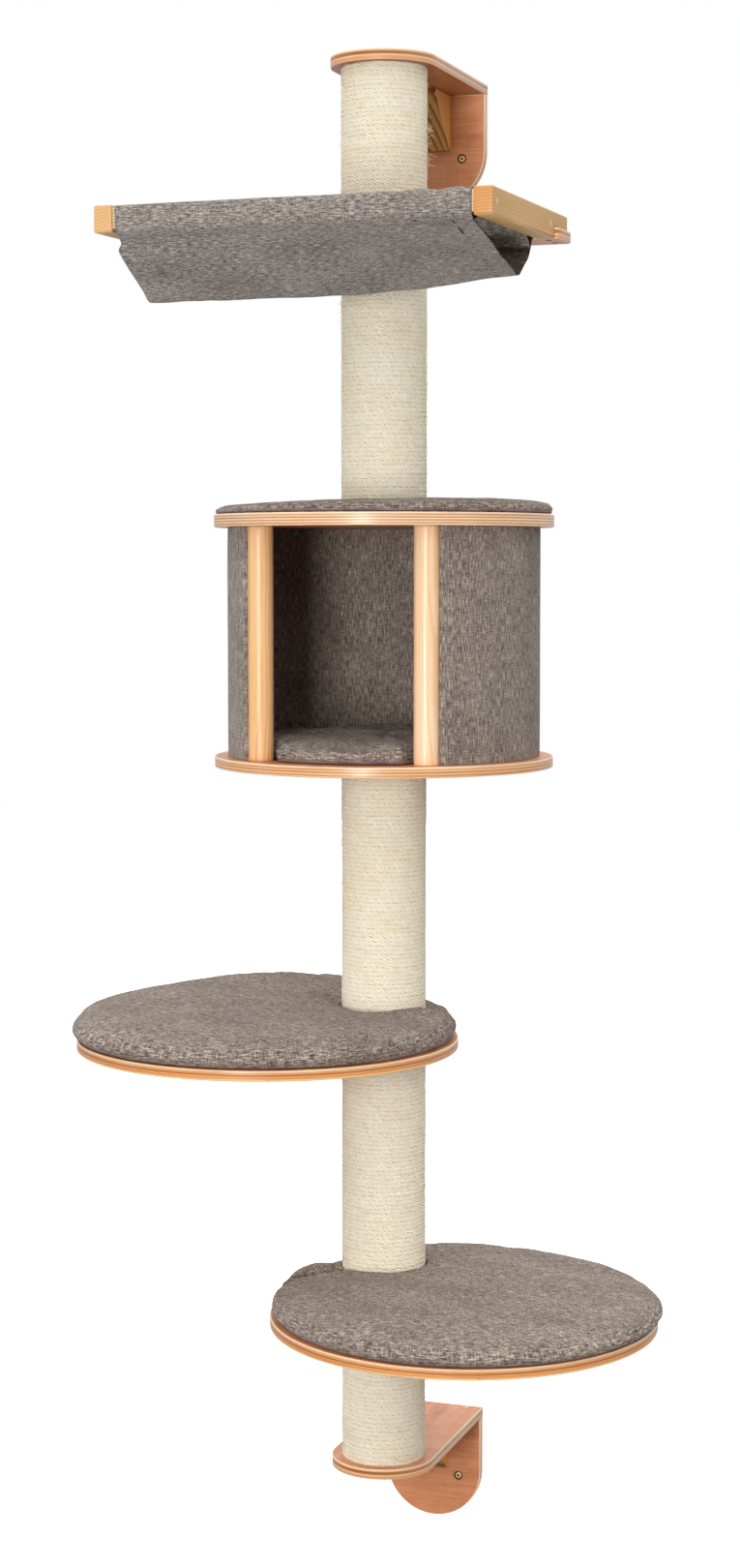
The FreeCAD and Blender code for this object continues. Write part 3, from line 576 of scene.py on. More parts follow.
def rope_mat():
    g = Graph("sisal_rope")
    uv = g.uv("Rope")
    u, v, _ = g.xyz(uv)                       # along the rope in metres, across it from -0.5 to 0.5
    wob = g.noise(g.vec(g.m("MULTIPLY", u, 55.0), 1.0), 1.0, 2.0, 0.5, dims="2D")
    drift = g.noise(g.vec(g.m("MULTIPLY", u, 7.0), 4.0), 1.0, 2.0, 0.6, dims="2D")
    ph = g.m("MULTIPLY_ADD", v, 1.7, g.m("MULTIPLY_ADD", drift, 9.0, g.m("MULTIPLY_ADD", wob, 1.5, g.m("DIVIDE", u, 0.0072))))
    f = g.m("FRACT", ph)
    near = g.m("MINIMUM", f, g.m("SUBTRACT", 1.0, f))                     # 0 between two strands, 0.5 on a strand
    groove = g.ramp(near, [(0.0, (0, 0, 0, 1)), (0.22, (0.6, 0.6, 0.6, 1)), (0.5, (1, 1, 1, 1))])
    av = g.m("ABSOLUTE", v)
    crease = g.ramp(av, [(0.33, (1, 1, 1, 1)), (0.43, (0.62, 0.62, 0.62, 1)), (0.5, (0.0, 0.0, 0.0, 1))])
    lay = g.vec(g.m("MULTIPLY", g.m("MULTIPLY_ADD", v, 0.0063, u), 120.0), g.m("MULTIPLY", g.m("MULTIPLY_ADD", u, -0.35, g.m("MULTIPLY", v, 0.0062)), 4200.0))
    hair = g.noise(lay, 1.0, 3.0, 0.65, dims="2D")
    tone = g.noise(g.vec(g.m("MULTIPLY", u, 16.0), g.m("MULTIPLY", v, 0.6)), 1.0, 3.0, 0.6, dims="2D")
    big = g.noise(g.map(g.obj(), (9, 9, 14)), 1.0, 3.0, 0.6)
    t = g.m("MULTIPLY_ADD", g.m("SUBTRACT", hair, 0.5), 0.80, 0.60)
    t = g.m("MULTIPLY_ADD", g.m("SUBTRACT", tone, 0.5), 0.50, t)
    t = g.m("MULTIPLY_ADD", g.m("SUBTRACT", big, 0.5), 0.40, t)
    col = g.ramp(t, [(0.12, lin("#DCC795")), (0.36, lin("#F6E9C6")), (0.62, lin("#FEF6E0")), (0.9, lin("#FFFEF8"))])
    # painted shade: the colour darkens in the crease between two turns of rope and in the grooves between strands,
    # broken into dashes by the gaps noise
    crease_painted_shade = g.m("SUBTRACT", 1.0, crease)
    groove_painted_shade = g.m("SUBTRACT", 1.0, groove)
    rope_painted_shade = g.m("MULTIPLY_ADD", crease_painted_shade, g.m("MULTIPLY_ADD", groove_painted_shade, 1.5, 0.06), g.m("MULTIPLY", groove_painted_shade, 0.46), clamp=True)
    gaps = g.noise(g.vec(g.m("MULTIPLY", u, 95.0), g.m("MULTIPLY", v, 0.8), 2.0), 1.0, 2.0, 0.6)
    painted_shade_dashes = g.ramp(gaps, [(0.40, (0.42, 0.42, 0.42, 1)), (0.60, (1, 1, 1, 1))])
    # mixes in the painted shade's colour
    col = g.mix(g.m("MULTIPLY", g.m("MULTIPLY", rope_painted_shade, painted_shade_dashes), 0.78), col, lin("#B89B68"))
    dark = g.noise(g.vec(g.m("MULTIPLY", u, 9.0), g.m("MULTIPLY", v, 1.0), 7.0), 1.0, 2.0, 0.5)
    col = g.mix(g.m("MULTIPLY", g.ramp(dark, [(0.70, (0, 0, 0, 1)), (0.76, (1, 1, 1, 1))]), 0.30), col, lin("#AE945F"))
    h = g.m("MULTIPLY_ADD", hair, 0.35, groove)
    return g.done(col, 0.66, g.bump(h, 0.0012, 0.9), spec=0.35, sheen=0.05)


def fibre_mat():
    g = Graph("sisal_fibre")
    t = g.noise(g.map(g.obj(), (160, 160, 160)), 1.0, 2.0, 0.5)
    col = g.ramp(t, [(0.3, lin("#D9C491")), (0.7, lin("#F6ECD0"))])
    return g.done(col, 0.6, spec=0.3)


def metal(name, light, dark, rough=0.32, share=1.0):
    g = Graph(name)
    p = g.obj()
    a = g.noise(g.map(p, (260, 260, 260)), 1.0, 3.0, 0.6)
    s = g.noise(g.map(p, (2600, 2600, 120)), 1.0, 2.0, 0.6)
    col = g.ramp(g.m("MULTIPLY_ADD", g.m("SUBTRACT", s, 0.5), 0.4, a), [(0.3, dark), (0.7, light)])
    return g.done(col, g.m("MULTIPLY_ADD", s, 0.2, rough - 0.1), g.bump(s, 0.00004, 0.4), metal=share)


def paper():
    g = Graph("paper_tube_wall")
    p = g.obj()
    a = g.noise(g.map(p, (60, 60, 900)), 1.0, 3.0, 0.6)
    col = g.ramp(a, [(0.3, lin("#9C7D58")), (0.7, lin("#C2A57C"))])
    return g.done(col, 0.85, g.bump(a, 0.0001, 0.5), spec=0.2)


def tape(name, base, dark):
    """Narrow woven binding."""
    g = Graph(name)
    p = g.obj()
    n1 = g.noise(g.map(p, (420, 420, 1300)), 1.0, 2.0, 0.6)
    n2 = g.noise(g.map(p, (25, 25, 25)), 1.0, 2.0, 0.5)
    t = g.m("MULTIPLY_ADD", g.m("SUBTRACT", n1, 0.5), 0.8, n2)
    col = g.ramp(t, [(0.3, dark), (0.7, base)])
    return g.done(col, 0.85, g.bump(n1, 0.0003, 0.5), spec=0.2, sheen=0.1)


def thread_mat(name, a, b):
    g = Graph(name)
    n1 = g.noise(g.map(g.obj(), (2500, 2500, 2500)), 1.0, 2.0, 0.6)
    return g.done(g.ramp(n1, [(0.35, b), (0.65, a)]), 0.8, g.bump(n1, 0.0001, 0.4), spec=0.2)


GREY = (lin("#413831"), lin("#695D54"), lin("#887A6F"), lin("#BFB1A4"))
GREY_UP = (lin("#3F3732"), lin("#685D55"), lin("#897C73"), lin("#BFB2A5"))
M_CUSHION = fabric("cloth_cushion", GREY, 0.0, contrast=1.15)
M_HAMMOCK = fabric("cloth_hammock", (lin("#453E3A"), lin("#6F6761"), lin("#8F867F"), lin("#C6BDB5")), 5.0, contrast=1.12, cross=0.7, yarn=(110, 660), fine=920)
# painted shade: a dark copy of the hammock cloth for the inside of the trough, standing in for the shade there
M_HAMMOCK_PAINTED_SHADE = fabric("cloth_hammock_inside_painted_shade", (lin("#19140F"), lin("#2A231C"), lin("#3B3228"), lin("#5D5244")), 8.0, contrast=1.0, cross=1.3, yarn=(60, 300), fine=480)
M_CAVE = fabric("cloth_cave", GREY_UP, 11.0, upright=True, contrast=0.95, cross=0.85, yarn=(80, 660), fine=900)
M_BIND = tape("binding_tape", lin("#8C7470"), lin("#5F4B4A"))
M_THREAD = thread_mat("stitch_thread", lin("#7D746E"), lin("#4A4441"))
M_TACK = thread_mat("tack_thread", lin("#5A514C"), lin("#423B37"))
M_ROPE = rope_mat()
M_FIBRE = fibre_mat()
RED = (lin("#A9623C"), lin("#C98257"), lin("#DFA277"))
M_FACE = veneer("beech_face", *RED, along=1, seed=0.0)
M_FACE_X = veneer("beech_face_cross", *RED, along=0, seed=4.0)
# painted shade: a darker, redder copy of the beech veneer for the upper bracket, standing in for the shade on its
# underside
M_FACE_UPPER_PAINTED_SHADE = veneer("beech_face_upper_painted_shade", lin("#82431F"), lin("#A45E32"), lin("#BF7C4C"), along=1, seed=2.5)
# the shelves' ply edge: real plies, with the pale cream bands at the top and bottom standing partly for painted
# highlights on the rounded arrises
M_EDGE15_PLIES_AND_HIGHLIGHT = ply_edge("ply_edge_shelf_plies_and_painted_highlight", 0.015, [(0.0, "#EBC08C"), (0.22, "#D6924F"), (0.40, "#DEA870"), (0.50, "#A85C27"), (0.60, "#D29054"), (0.78, "#F3D3AA"), (0.84, "#D6A474"), (0.88, "#F4D8B4")], 0.0)
M_EDGE15B = ply_edge("ply_edge_bracket", 0.015, [(0.0, "#F0C79C"), (0.10, "#E3A877"), (0.36, "#F6DAB2"), (0.47, "#C08048"), (0.60, "#AD6C34"), (0.76, "#E9BC8A"), (0.86, "#F8E0BC")], 13.0, 0.30)
M_EDGE15C = ply_edge("ply_edge_cave", 0.015, [(0.0, "#EAC296"), (0.16, "#CD8F58"), (0.28, "#E9C296"), (0.44, "#BE7A42"), (0.54, "#E6BB8D"), (0.70, "#CF9560"), (0.80, "#EFCBA2"), (0.93, "#F7DDBE")], 5.0)
M_EDGE18 = ply_edge("ply_edge_18", 0.018, [(0.0, "#EFD2B0"), (0.12, "#D3A06C"), (0.22, "#F2D6B6"), (0.34, "#CC955F"), (0.44, "#F3D9BB"), (0.56, "#BF8049"), (0.64, "#F0D1AE"), (0.76, "#D3A06C"), (0.85, "#F7E0C6")], 3.0)
# painted shade: the insides of bored holes and recesses are a darker copy of the veneer, standing in for the shade in
# them
M_HOLE_PAINTED_SHADE = veneer("bored_hole_painted_shade", lin("#6A3E22"), lin("#8A5733"), lin("#A6714A"), seed=2.0)
PINE_L, PINE_D = lin("#E6CDA8"), lin("#BE935F")
M_BATTEN = timber("batten_pine", (PI / 2, 0, 0), (0.31, 1.30), lin("#D8AE72"), lin("#A87439"), ring=0.0042, gloss=0.55, coat=0.0, seed=2.0, late=0.36)
M_BATTEN_END = timber("batten_end", (PI / 2, 0, 0), (0.31, 1.30), lin("#D2965A"), lin("#AE6B2E"), ring=0.0042, seed=2.0, late=0.5)
M_BATTEN_END_L = timber("batten_end_left", (PI / 2, 0, 0), (0.31, 1.30), lin("#DBAE7C"), lin("#BC8449"), ring=0.0042, seed=6.0, late=0.42)
M_GUSSET = timber("gusset_pine", (-0.5236, 0, 0), (-0.010, 0.995), lin("#C98A45"), lin("#633A11"), ring=0.0080, seed=6.0, late=0.85)
# the gusset's flat sides: long-grain pine, made lighter than the slope partly as painted light on the side that faces
# right
M_GUSSET_SIDE_GRAIN_AND_LIGHT = timber("gusset_side_grain_and_painted_light", (0, 0, 0), (0.3, -0.4), lin("#EBAE62"), lin("#B0702F"), ring=0.0110, seed=7.0, late=0.25)
M_RAIL = timber("rail_pine", (0, PI / 2, 0), (-1.2, 0.5), PINE_L, PINE_D, seed=8.0)
M_PLUG = timber("plug_pine", (0, 0, 0), (0.08, -0.2), PINE_L, PINE_D, seed=9.0)
M_ZINC = metal("zinc_steel", lin("#C9C6C0"), lin("#8F8B84"))
M_BRASSY = metal("yellow_zinc", lin("#F0D9AC"), lin("#C09C66"), 0.40, 0.25)
# painted shade: dark metal in the screws' hexagon drives, where the recess lies in shade
M_DRIVE_PAINTED_SHADE = metal("drive_socket_painted_shade", lin("#4A3B2A"), lin("#2A2018"), 0.5, 0.5)
M_PAPER = paper()


# ---------------------------------------------------------------- rope-wrapped post
PITCH = 0.0062


def sisal(index, z0, z1, seed):
    rng = np.random.default_rng(seed)
    R0, NA, SPT = 0.0602, 168, 6
    turns = int(math.ceil((z1 - z0) / PITCH))
    pitch = (z1 - z0) / turns
    rows = (turns + 1) * SPT
    I, J = np.meshgrid(np.arange(NA), np.arange(rows + 1), indexing="ij")
    th = I / NA * 2 * PI
    t = J / SPT + I / NA - 1.0                    # in turns, the helix climbs by one pitch a turn
    # no two turns are laid quite alike
    wander = np.cumsum(rng.normal(0, 1, turns + 4))
    wander = wander - np.linspace(wander[0], wander[-1], turns + 4)
    jit = rng.normal(0, 1, (turns + 4, 12)) * 0.00022
    k = np.clip(np.floor(t).astype(int) + 1, 0, turns + 3)
    kt = th / (2 * PI) * 12
    a, b = np.floor(kt).astype(int) % 12, (np.floor(kt).astype(int) + 1) % 12
    fr = kt - np.floor(kt)
    fr = fr * fr * (3 - 2 * fr)
    d = (t - np.floor(t)) * 2 - 1                 # -1 to 1 across one turn of rope
    s = (np.floor(t) + th / (2 * PI)) * 2 * PI * R0   # along the rope
    half = pitch / 2
    rise = half - np.sqrt(np.maximum(half ** 2 - (np.abs(d) * half * 0.985) ** 2, 0))
    rise = np.minimum(rise * 0.26, 0.0006)
    strand = np.sin(2 * PI * (s / 0.0072 + d * 0.5 * 1.7) + 5.0 * vnoise(s * 7, 0.5, seed=seed + 11))
    r = R0 - rise + 0.00028 * strand * (1 - d ** 2)
    r = r + (jit[k, a] * (1 - fr) + jit[k, b] * fr) * (1 - d ** 4)
    z = z0 + t * pitch + 0.00025 * vnoise(th * 3 / PI, t * 0.37, seed=seed)
    z = np.clip(z, z0, z1)
    r = r - 0.0004 * (vnoise(np.cos(th) * 1.6 + 5, np.sin(th) * 1.6 + 5, z * 22, seed=seed + 3))
    # the rope is laid down from the plates, so the last turns lean on them
    X = r * np.cos(th)
    Y = PY + r * np.sin(th)
    nv = rows + 1
    faces, ci, cj = grid_faces(NA, nv, wu=True)
    # the strip closes on itself one turn higher
    V = np.stack([X.ravel(), Y.ravel(), z.ravel()], 1)
    seam = ci == NA
    jj = cj + SPT * seam
    ok = (jj <= rows).all(1)
    faces = (ci % NA) * nv + jj
    faces, ci, cj, jj = faces[ok], ci[ok], cj[ok], jj[ok]
    zz = V[faces.ravel(), 2].reshape(faces.shape)
    ok = (zz.max(1) - zz.min(1)) > 1e-5
    faces, ci, cj = faces[ok], ci[ok], cj[ok]
    # the maps
    tt = cj / SPT + ci / NA - 1.0
    tf = (cj[:, :1] + 0.001) / SPT + ci[:, :1] / NA - 1.0
    row = np.floor(cj.min(1, keepdims=True) / SPT + 1e-9)
    dv = cj / SPT - row - 0.5 + 0 * tt
    # a row of the strip holds one turn: across it runs from -0.5 to 0.5 where d does
    f2 = tt - np.floor(tt.mean(1, keepdims=True))
    dv = f2 - 0.5
    su = (np.floor(tt.mean(1, keepdims=True)) + ci / NA) * 2 * PI * R0
    uv_rope = np.stack([su, dv], 2)
    zc = np.clip(z0 + tt * pitch, z0, z1)
    uv_bake = np.stack([0.004 + 0.992 * ci / NA, 0.004 + 0.94 * (zc - z0) / (z1 - z0)], 2)
    faces = [tuple(f) for f in faces]
    uv_rope = [tuple(x) for f in uv_rope for x in f]
    uv_bake = [tuple(x) for f in uv_bake for x in f]
    # inner face of the winding, and the rings at its two ends
    base = len(V)
    ring = []
    M = 84
    for rad, zz_ in ((0.0575, z0), (0.0542, z0), (0.0542, z1), (0.0575, z1)):
        ring += [(rad * math.cos(2 * PI * q / M), PY + rad * math.sin(2 * PI * q / M), zz_) for q in range(M)]
    V = np.concatenate([V, np.array(ring)])
    for kx in range(3):
        for q in range(M):
            w = (q + 1) % M
            faces.append((base + kx * M + q, base + (kx + 1) * M + q, base + (kx + 1) * M + w, base + kx * M + w))
            for (qa, kb) in ((q, kx), (q, kx + 1), (q + 1, kx + 1), (q + 1, kx)):
                uv_rope.append((qa / M * 0.34, -0.4 + 0.8 * kb / 3))
                uv_bake.append((0.004 + 0.99 * qa / M, 0.955 + 0.04 * kb / 3))
    ob = add_mesh(f"sisal_rope_{index}", V, faces, [M_ROPE], None, {"Rope": uv_rope, "OFBake": uv_bake}, None,
                  "column", (f"sisal_wrap_{index}",))
    return ob


def frays(name, spots, seed):
    """Loose fibres: spots are (angle, z, spread in angle, spread in z, count, longest, stand)."""
    rng = np.random.default_rng(seed)
    paths, radii = [], []
    for ang, z, da, dz, count, longest, stand in spots:
        for _ in range(count):
            a0 = ang + rng.normal(0, 1) * da if da < 3 else rng.uniform(0, 2 * PI)
            zz = z + rng.uniform(-1, 1) * dz
            L = longest * rng.uniform(0.35, 1.0)
            turn = rng.choice([-1, 1])
            lift = stand * rng.uniform(0.1, 1.0)
            drop = rng.normal(0, 0.45)
            curl = rng.normal(0, 1.1)
            pts = []
            m = 7
            for q in range(m):
                f = q / (m - 1)
                out = 0.0588 + 0.0012 + lift * L * (f ** 1.3) + 0.0006 * math.sin(f * 6 + curl)
                aa = a0 + turn * (L * f * (1 - 0.55 * min(1, lift * 1.2))) / 0.06
                pts.append((out * math.cos(aa), PY + out * math.sin(aa), zz + L * f * drop * 0.6 + 0.12 * L * curl * f * f))
            paths.append(pts)
            radii.append(rng.uniform(0.00010, 0.00021) if stand < 0.65 else rng.uniform(0.00020, 0.00034))
    V, F = tubes(paths, radii, 3)
    return add_mesh(name, V, F, [M_FIBRE], body="column")


LEVELS = [(0.107, 0.342), (0.357, 0.714), (0.729, 1.109), (1.464, 1.827), (1.842, 2.082)]
for i, (a, b) in enumerate(LEVELS, 1):
    sisal(i, a, b, 100 + i)
RIGHT, LEFT = math.radians(18.4), math.radians(198.4)    # where the post's outline lies for the camera
for i, (a, b) in enumerate(LEVELS, 1):
    mid, half = (a + b) / 2, (b - a) / 2 - 0.006
    spots = [(0, mid, 9, half, int(1500 * (b - a)), 0.016, 0.10), (0, mid, 9, half, int(420 * (b - a)), 0.022, 0.35)]
    if i == 5:
        spots += [(RIGHT - 0.08, 1.990, 0.10, 0.012, 22, 0.024, 0.9), (RIGHT - 0.05, 1.958, 0.07, 0.009, 18, 0.026, 0.9), (RIGHT, 2.03, 0.2, 0.04, 14, 0.010, 0.7), (math.radians(-80), 2.079, 0.7, 0.003, 40, 0.010, 0.68)]
    if i == 4:
        spots += [(LEFT, 1.742, 0.12, 0.020, 14, 0.012, 0.8), (RIGHT, 1.62, 0.15, 0.10, 16, 0.009, 0.6)]
    if i == 2:
        spots += [(RIGHT, 0.60, 0.15, 0.10, 14, 0.010, 0.6), (math.radians(-60), 0.396, 0.25, 0.004, 16, 0.014, 0.5)]
    if i == 3:
        spots += [(LEFT + 0.2, 0.775, 0.2, 0.010, 12, 0.010, 0.6)]
    if i == 1:
        spots += [(math.radians(-70), 0.112, 0.5, 0.003, 34, 0.010, 0.7)]
    frays(f"sisal_fibres_{i}", spots, 300 + i)


# ---------------------------------------------------------------- plywood pieces
def flat_xy(a, b, h):
    return a, b, h


def bracket_outline():
    t = np.linspace(0, -PI, 97)
    arc = np.stack([0.075 * np.cos(t), PY + 0.075 * np.sin(t)], 1)
    return np.concatenate([[[0.075, 0.0]], arc, [[-0.075, 0.0]]])[::-1]


def wall_outline(zt):
    t = np.linspace(0, -PI, 81)
    arc = np.stack([0.075 * np.cos(t), zt - 0.083 + 0.075 * np.sin(t)], 1)
    return np.concatenate([[[0.075, zt]], arc, [[-0.075, zt]]])[::-1]


def wall_place(a, b, h):      # the board stands in the XZ plane, its front face at Y = -h
    return a, -h, b


def csk(x, y, side=1, head=0.0047, shank=0.0026):
    return ((x, y), side, [(head, 0.0), (shank, 0.0026), (shank, 0.006)])


for which, z0 in (("lower", 0.092), ("upper", 2.082)):
    holes = [csk(-0.05, -0.0075), csk(0.05, -0.0075), csk(0.0, -0.055), ((0.0, PY), 1, [(0.0056, 0), (0.0056, 0.004)])]
    # the upper bracket board takes the painted-shade veneer
    board(f"{which}_bracket_board", bracket_outline(), z0, z0 + 0.015, flat_xy, [M_FACE_UPPER_PAINTED_SHADE if which == "upper" else M_FACE, M_EDGE15B, M_HOLE_PAINTED_SHADE],
          0.0013, 3, holes, body="column", reps=(f"{which}_bracket_plate",))
    zc = z0 - 0.092
    recess = [((sx * 0.040, zc), 1, [(0.0072, 0.0), (0.0070, 0.0004), (0.0070, 0.003), (0.0034, 0.003), (0.0034, 0.013)]) for sx in (-1, 1)]
    board(f"{which}_wall_board", wall_outline(z0), 0.0, 0.015, wall_place, [M_FACE_X, M_EDGE15B, M_HOLE_PAINTED_SHADE],
          0.0013, 3, recess, body="column", reps=(f"{which}_wall_plate",))
    G = rounded([(-0.015, z0), (-0.090, z0), (-0.090, z0 - 0.008), (-0.023, z0 - 0.080), (-0.015, z0 - 0.080)], [0, 0, 0.0015, 0.0015, 0])
    board(f"{which}_gusset_block", G, -0.023, 0.023, lambda a, b, h: (h, a, b), [M_GUSSET_SIDE_GRAIN_AND_LIGHT, M_GUSSET, M_HOLE_PAINTED_SHADE],
          0.0012, 3, body="column", reps=(f"{which}_gusset",))

C1, C2, RS = (-0.140, -0.348), (0.152, -0.349), 0.270
board("upper_shelf_board", circle(*C1, RS, 300), 0.714, 0.729, flat_xy, [M_FACE_X, M_EDGE15_PLIES_AND_HIGHLIGHT, M_HOLE_PAINTED_SHADE], 0.0016, 4, body="upper_shelf",
      reps=("upper_shelf_plate",))
board("lower_shelf_board", circle(*C2, RS, 300), 0.342, 0.357, flat_xy, [M_FACE_X, M_EDGE15_PLIES_AND_HIGHLIGHT, M_HOLE_PAINTED_SHADE], 0.0016, 4, body="lower_shelf",
      reps=("lower_shelf_plate",))
board("cave_floor_board", circle(0, PY, 0.240, 280), 1.109, 1.124, flat_xy, [M_FACE, M_EDGE15C, M_HOLE_PAINTED_SHADE], 0.0014, 4, body="cave",
      reps=("cave_floor_plate",))
board("cave_roof_board", circle(0, PY, 0.240, 280), 1.446, 1.464, flat_xy, [M_FACE, M_EDGE18, M_HOLE_PAINTED_SHADE], 0.0014, 4, body="cave",
      reps=("cave_roof_plate",))

# the hammock's own frame is turned about the post
HT = math.radians(-1.1)


def hplace(lx, ly, lz):
    """From the hammock's local frame, its origin on the post axis at Z = 1.827."""
    c, s = math.cos(HT), math.sin(HT)
    lx, ly, lz = np.asarray(lx, float), np.asarray(ly, float), np.asarray(lz, float)
    return c * lx - s * ly, PY + s * lx + c * ly, 1.827 + lz + 0 * lx


def hplate_outline():
    pts = [(0.281, -0.026), (-0.281, -0.026), (-0.281, -0.090)]
    rad = [0.009, 0.009, 0.009]
    a0 = math.asin(0.090 / 0.075) if 0.090 < 0.075 else None
    pts = rounded([(-0.281, -0.090), (0.281, -0.090), (0.281, -0.026), (-0.281, -0.026)], [0.009] * 4, 8)
    # the round middle shows in front of and behind the bar
    t0 = math.asin(-0.026 / 0.075)
    arc = np.array([(0.075 * math.cos(t), 0.075 * math.sin(t)) for t in np.linspace(t0, PI - t0, 64)])
    out = []
    for p in pts:
        out.append(p)
    out = np.array(out)
    # splice the arc into the rear edge, which runs from +X to -X at Y = -0.026
    rear = [k for k in range(len(out)) if abs(out[k][1] + 0.026) < 1e-9]
    cut = max(rear, key=lambda k: out[k][0])
    return np.concatenate([out[:cut + 1], arc, out[cut + 1:]])


board("hammock_board", hplate_outline(), 0.0, 0.015, hplace, [M_FACE_X, M_EDGE15B, M_HOLE_PAINTED_SHADE], 0.0012, 3, body="hammock",
      reps=("hammock_plate",))

for side, sx in (("left", -1), ("right", 1)):
    B = rounded([(-0.358, 0.0), (-0.0905, 0.0), (-0.0905, 0.0151), (-0.028, 0.0151), (-0.028, 0.036), (-0.358, 0.036)],
                [0.0035, 0.0008, 0.0, 0.0008, 0.003, 0.0035])
    heads = [((y, 0.019), 1, [(0.0042, 0.0), (0.0022, 0.0022), (0.0022, 0.006)]) for y in (-0.341, -0.107)]

    def bplace(a, b, h, sx=sx):
        return hplace(sx * (0.249 + h), a, b)
    board(f"hammock_batten_{side}_bar", B, 0.0, 0.026, bplace, [M_BATTEN, M_BATTEN, M_HOLE_PAINTED_SHADE, M_BATTEN_END if side == "right" else M_BATTEN_END_L], 0.0026, 4, heads,
          edge_mat=lambda nr, en: 3 if abs(en[0]) > 0.8 else 1, body="hammock", reps=(f"hammock_batten_{side}",))

# ---------------------------------------------------------------- pillars of the cave
for side in ("left", "right"):
    lo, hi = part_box(f"cave_dowel_{side}")
    cx, cy = (lo[0] + hi[0]) / 2, (lo[1] + hi[1]) / 2
    mat = timber(f"pillar_pine_{side}", (0, 0.03, 0), (cx + (0.05 if side == "left" else -0.09), cy + 0.045), lin("#E6BA84" if side == "left" else "#EBCAA4"),
                 lin("#CF8A44" if side == "left" else "#DDA36A"), ring=0.0046, gloss=0.42, coat=0.35, seed=3.0 if side == "left" else 14.0, late=0.5)
    z0, z1, r, ch = 1.124, 1.446, 0.0175, 0.0008
    prof = [(r - ch, z0), (r - 0.2 * ch, z0 + 0.3 * ch), (r, z0 + ch)] + [(r, z0 + ch + (z1 - z0 - 2 * ch) * k / 24) for k in range(1, 24)] + \
           [(r, z1 - ch), (r - 0.2 * ch, z1 - 0.3 * ch), (r - ch, z1)]
    lathe(f"cave_pillar_{side}", prof, cx, cy, [mat], 72, "cave", (f"cave_dowel_{side}",))


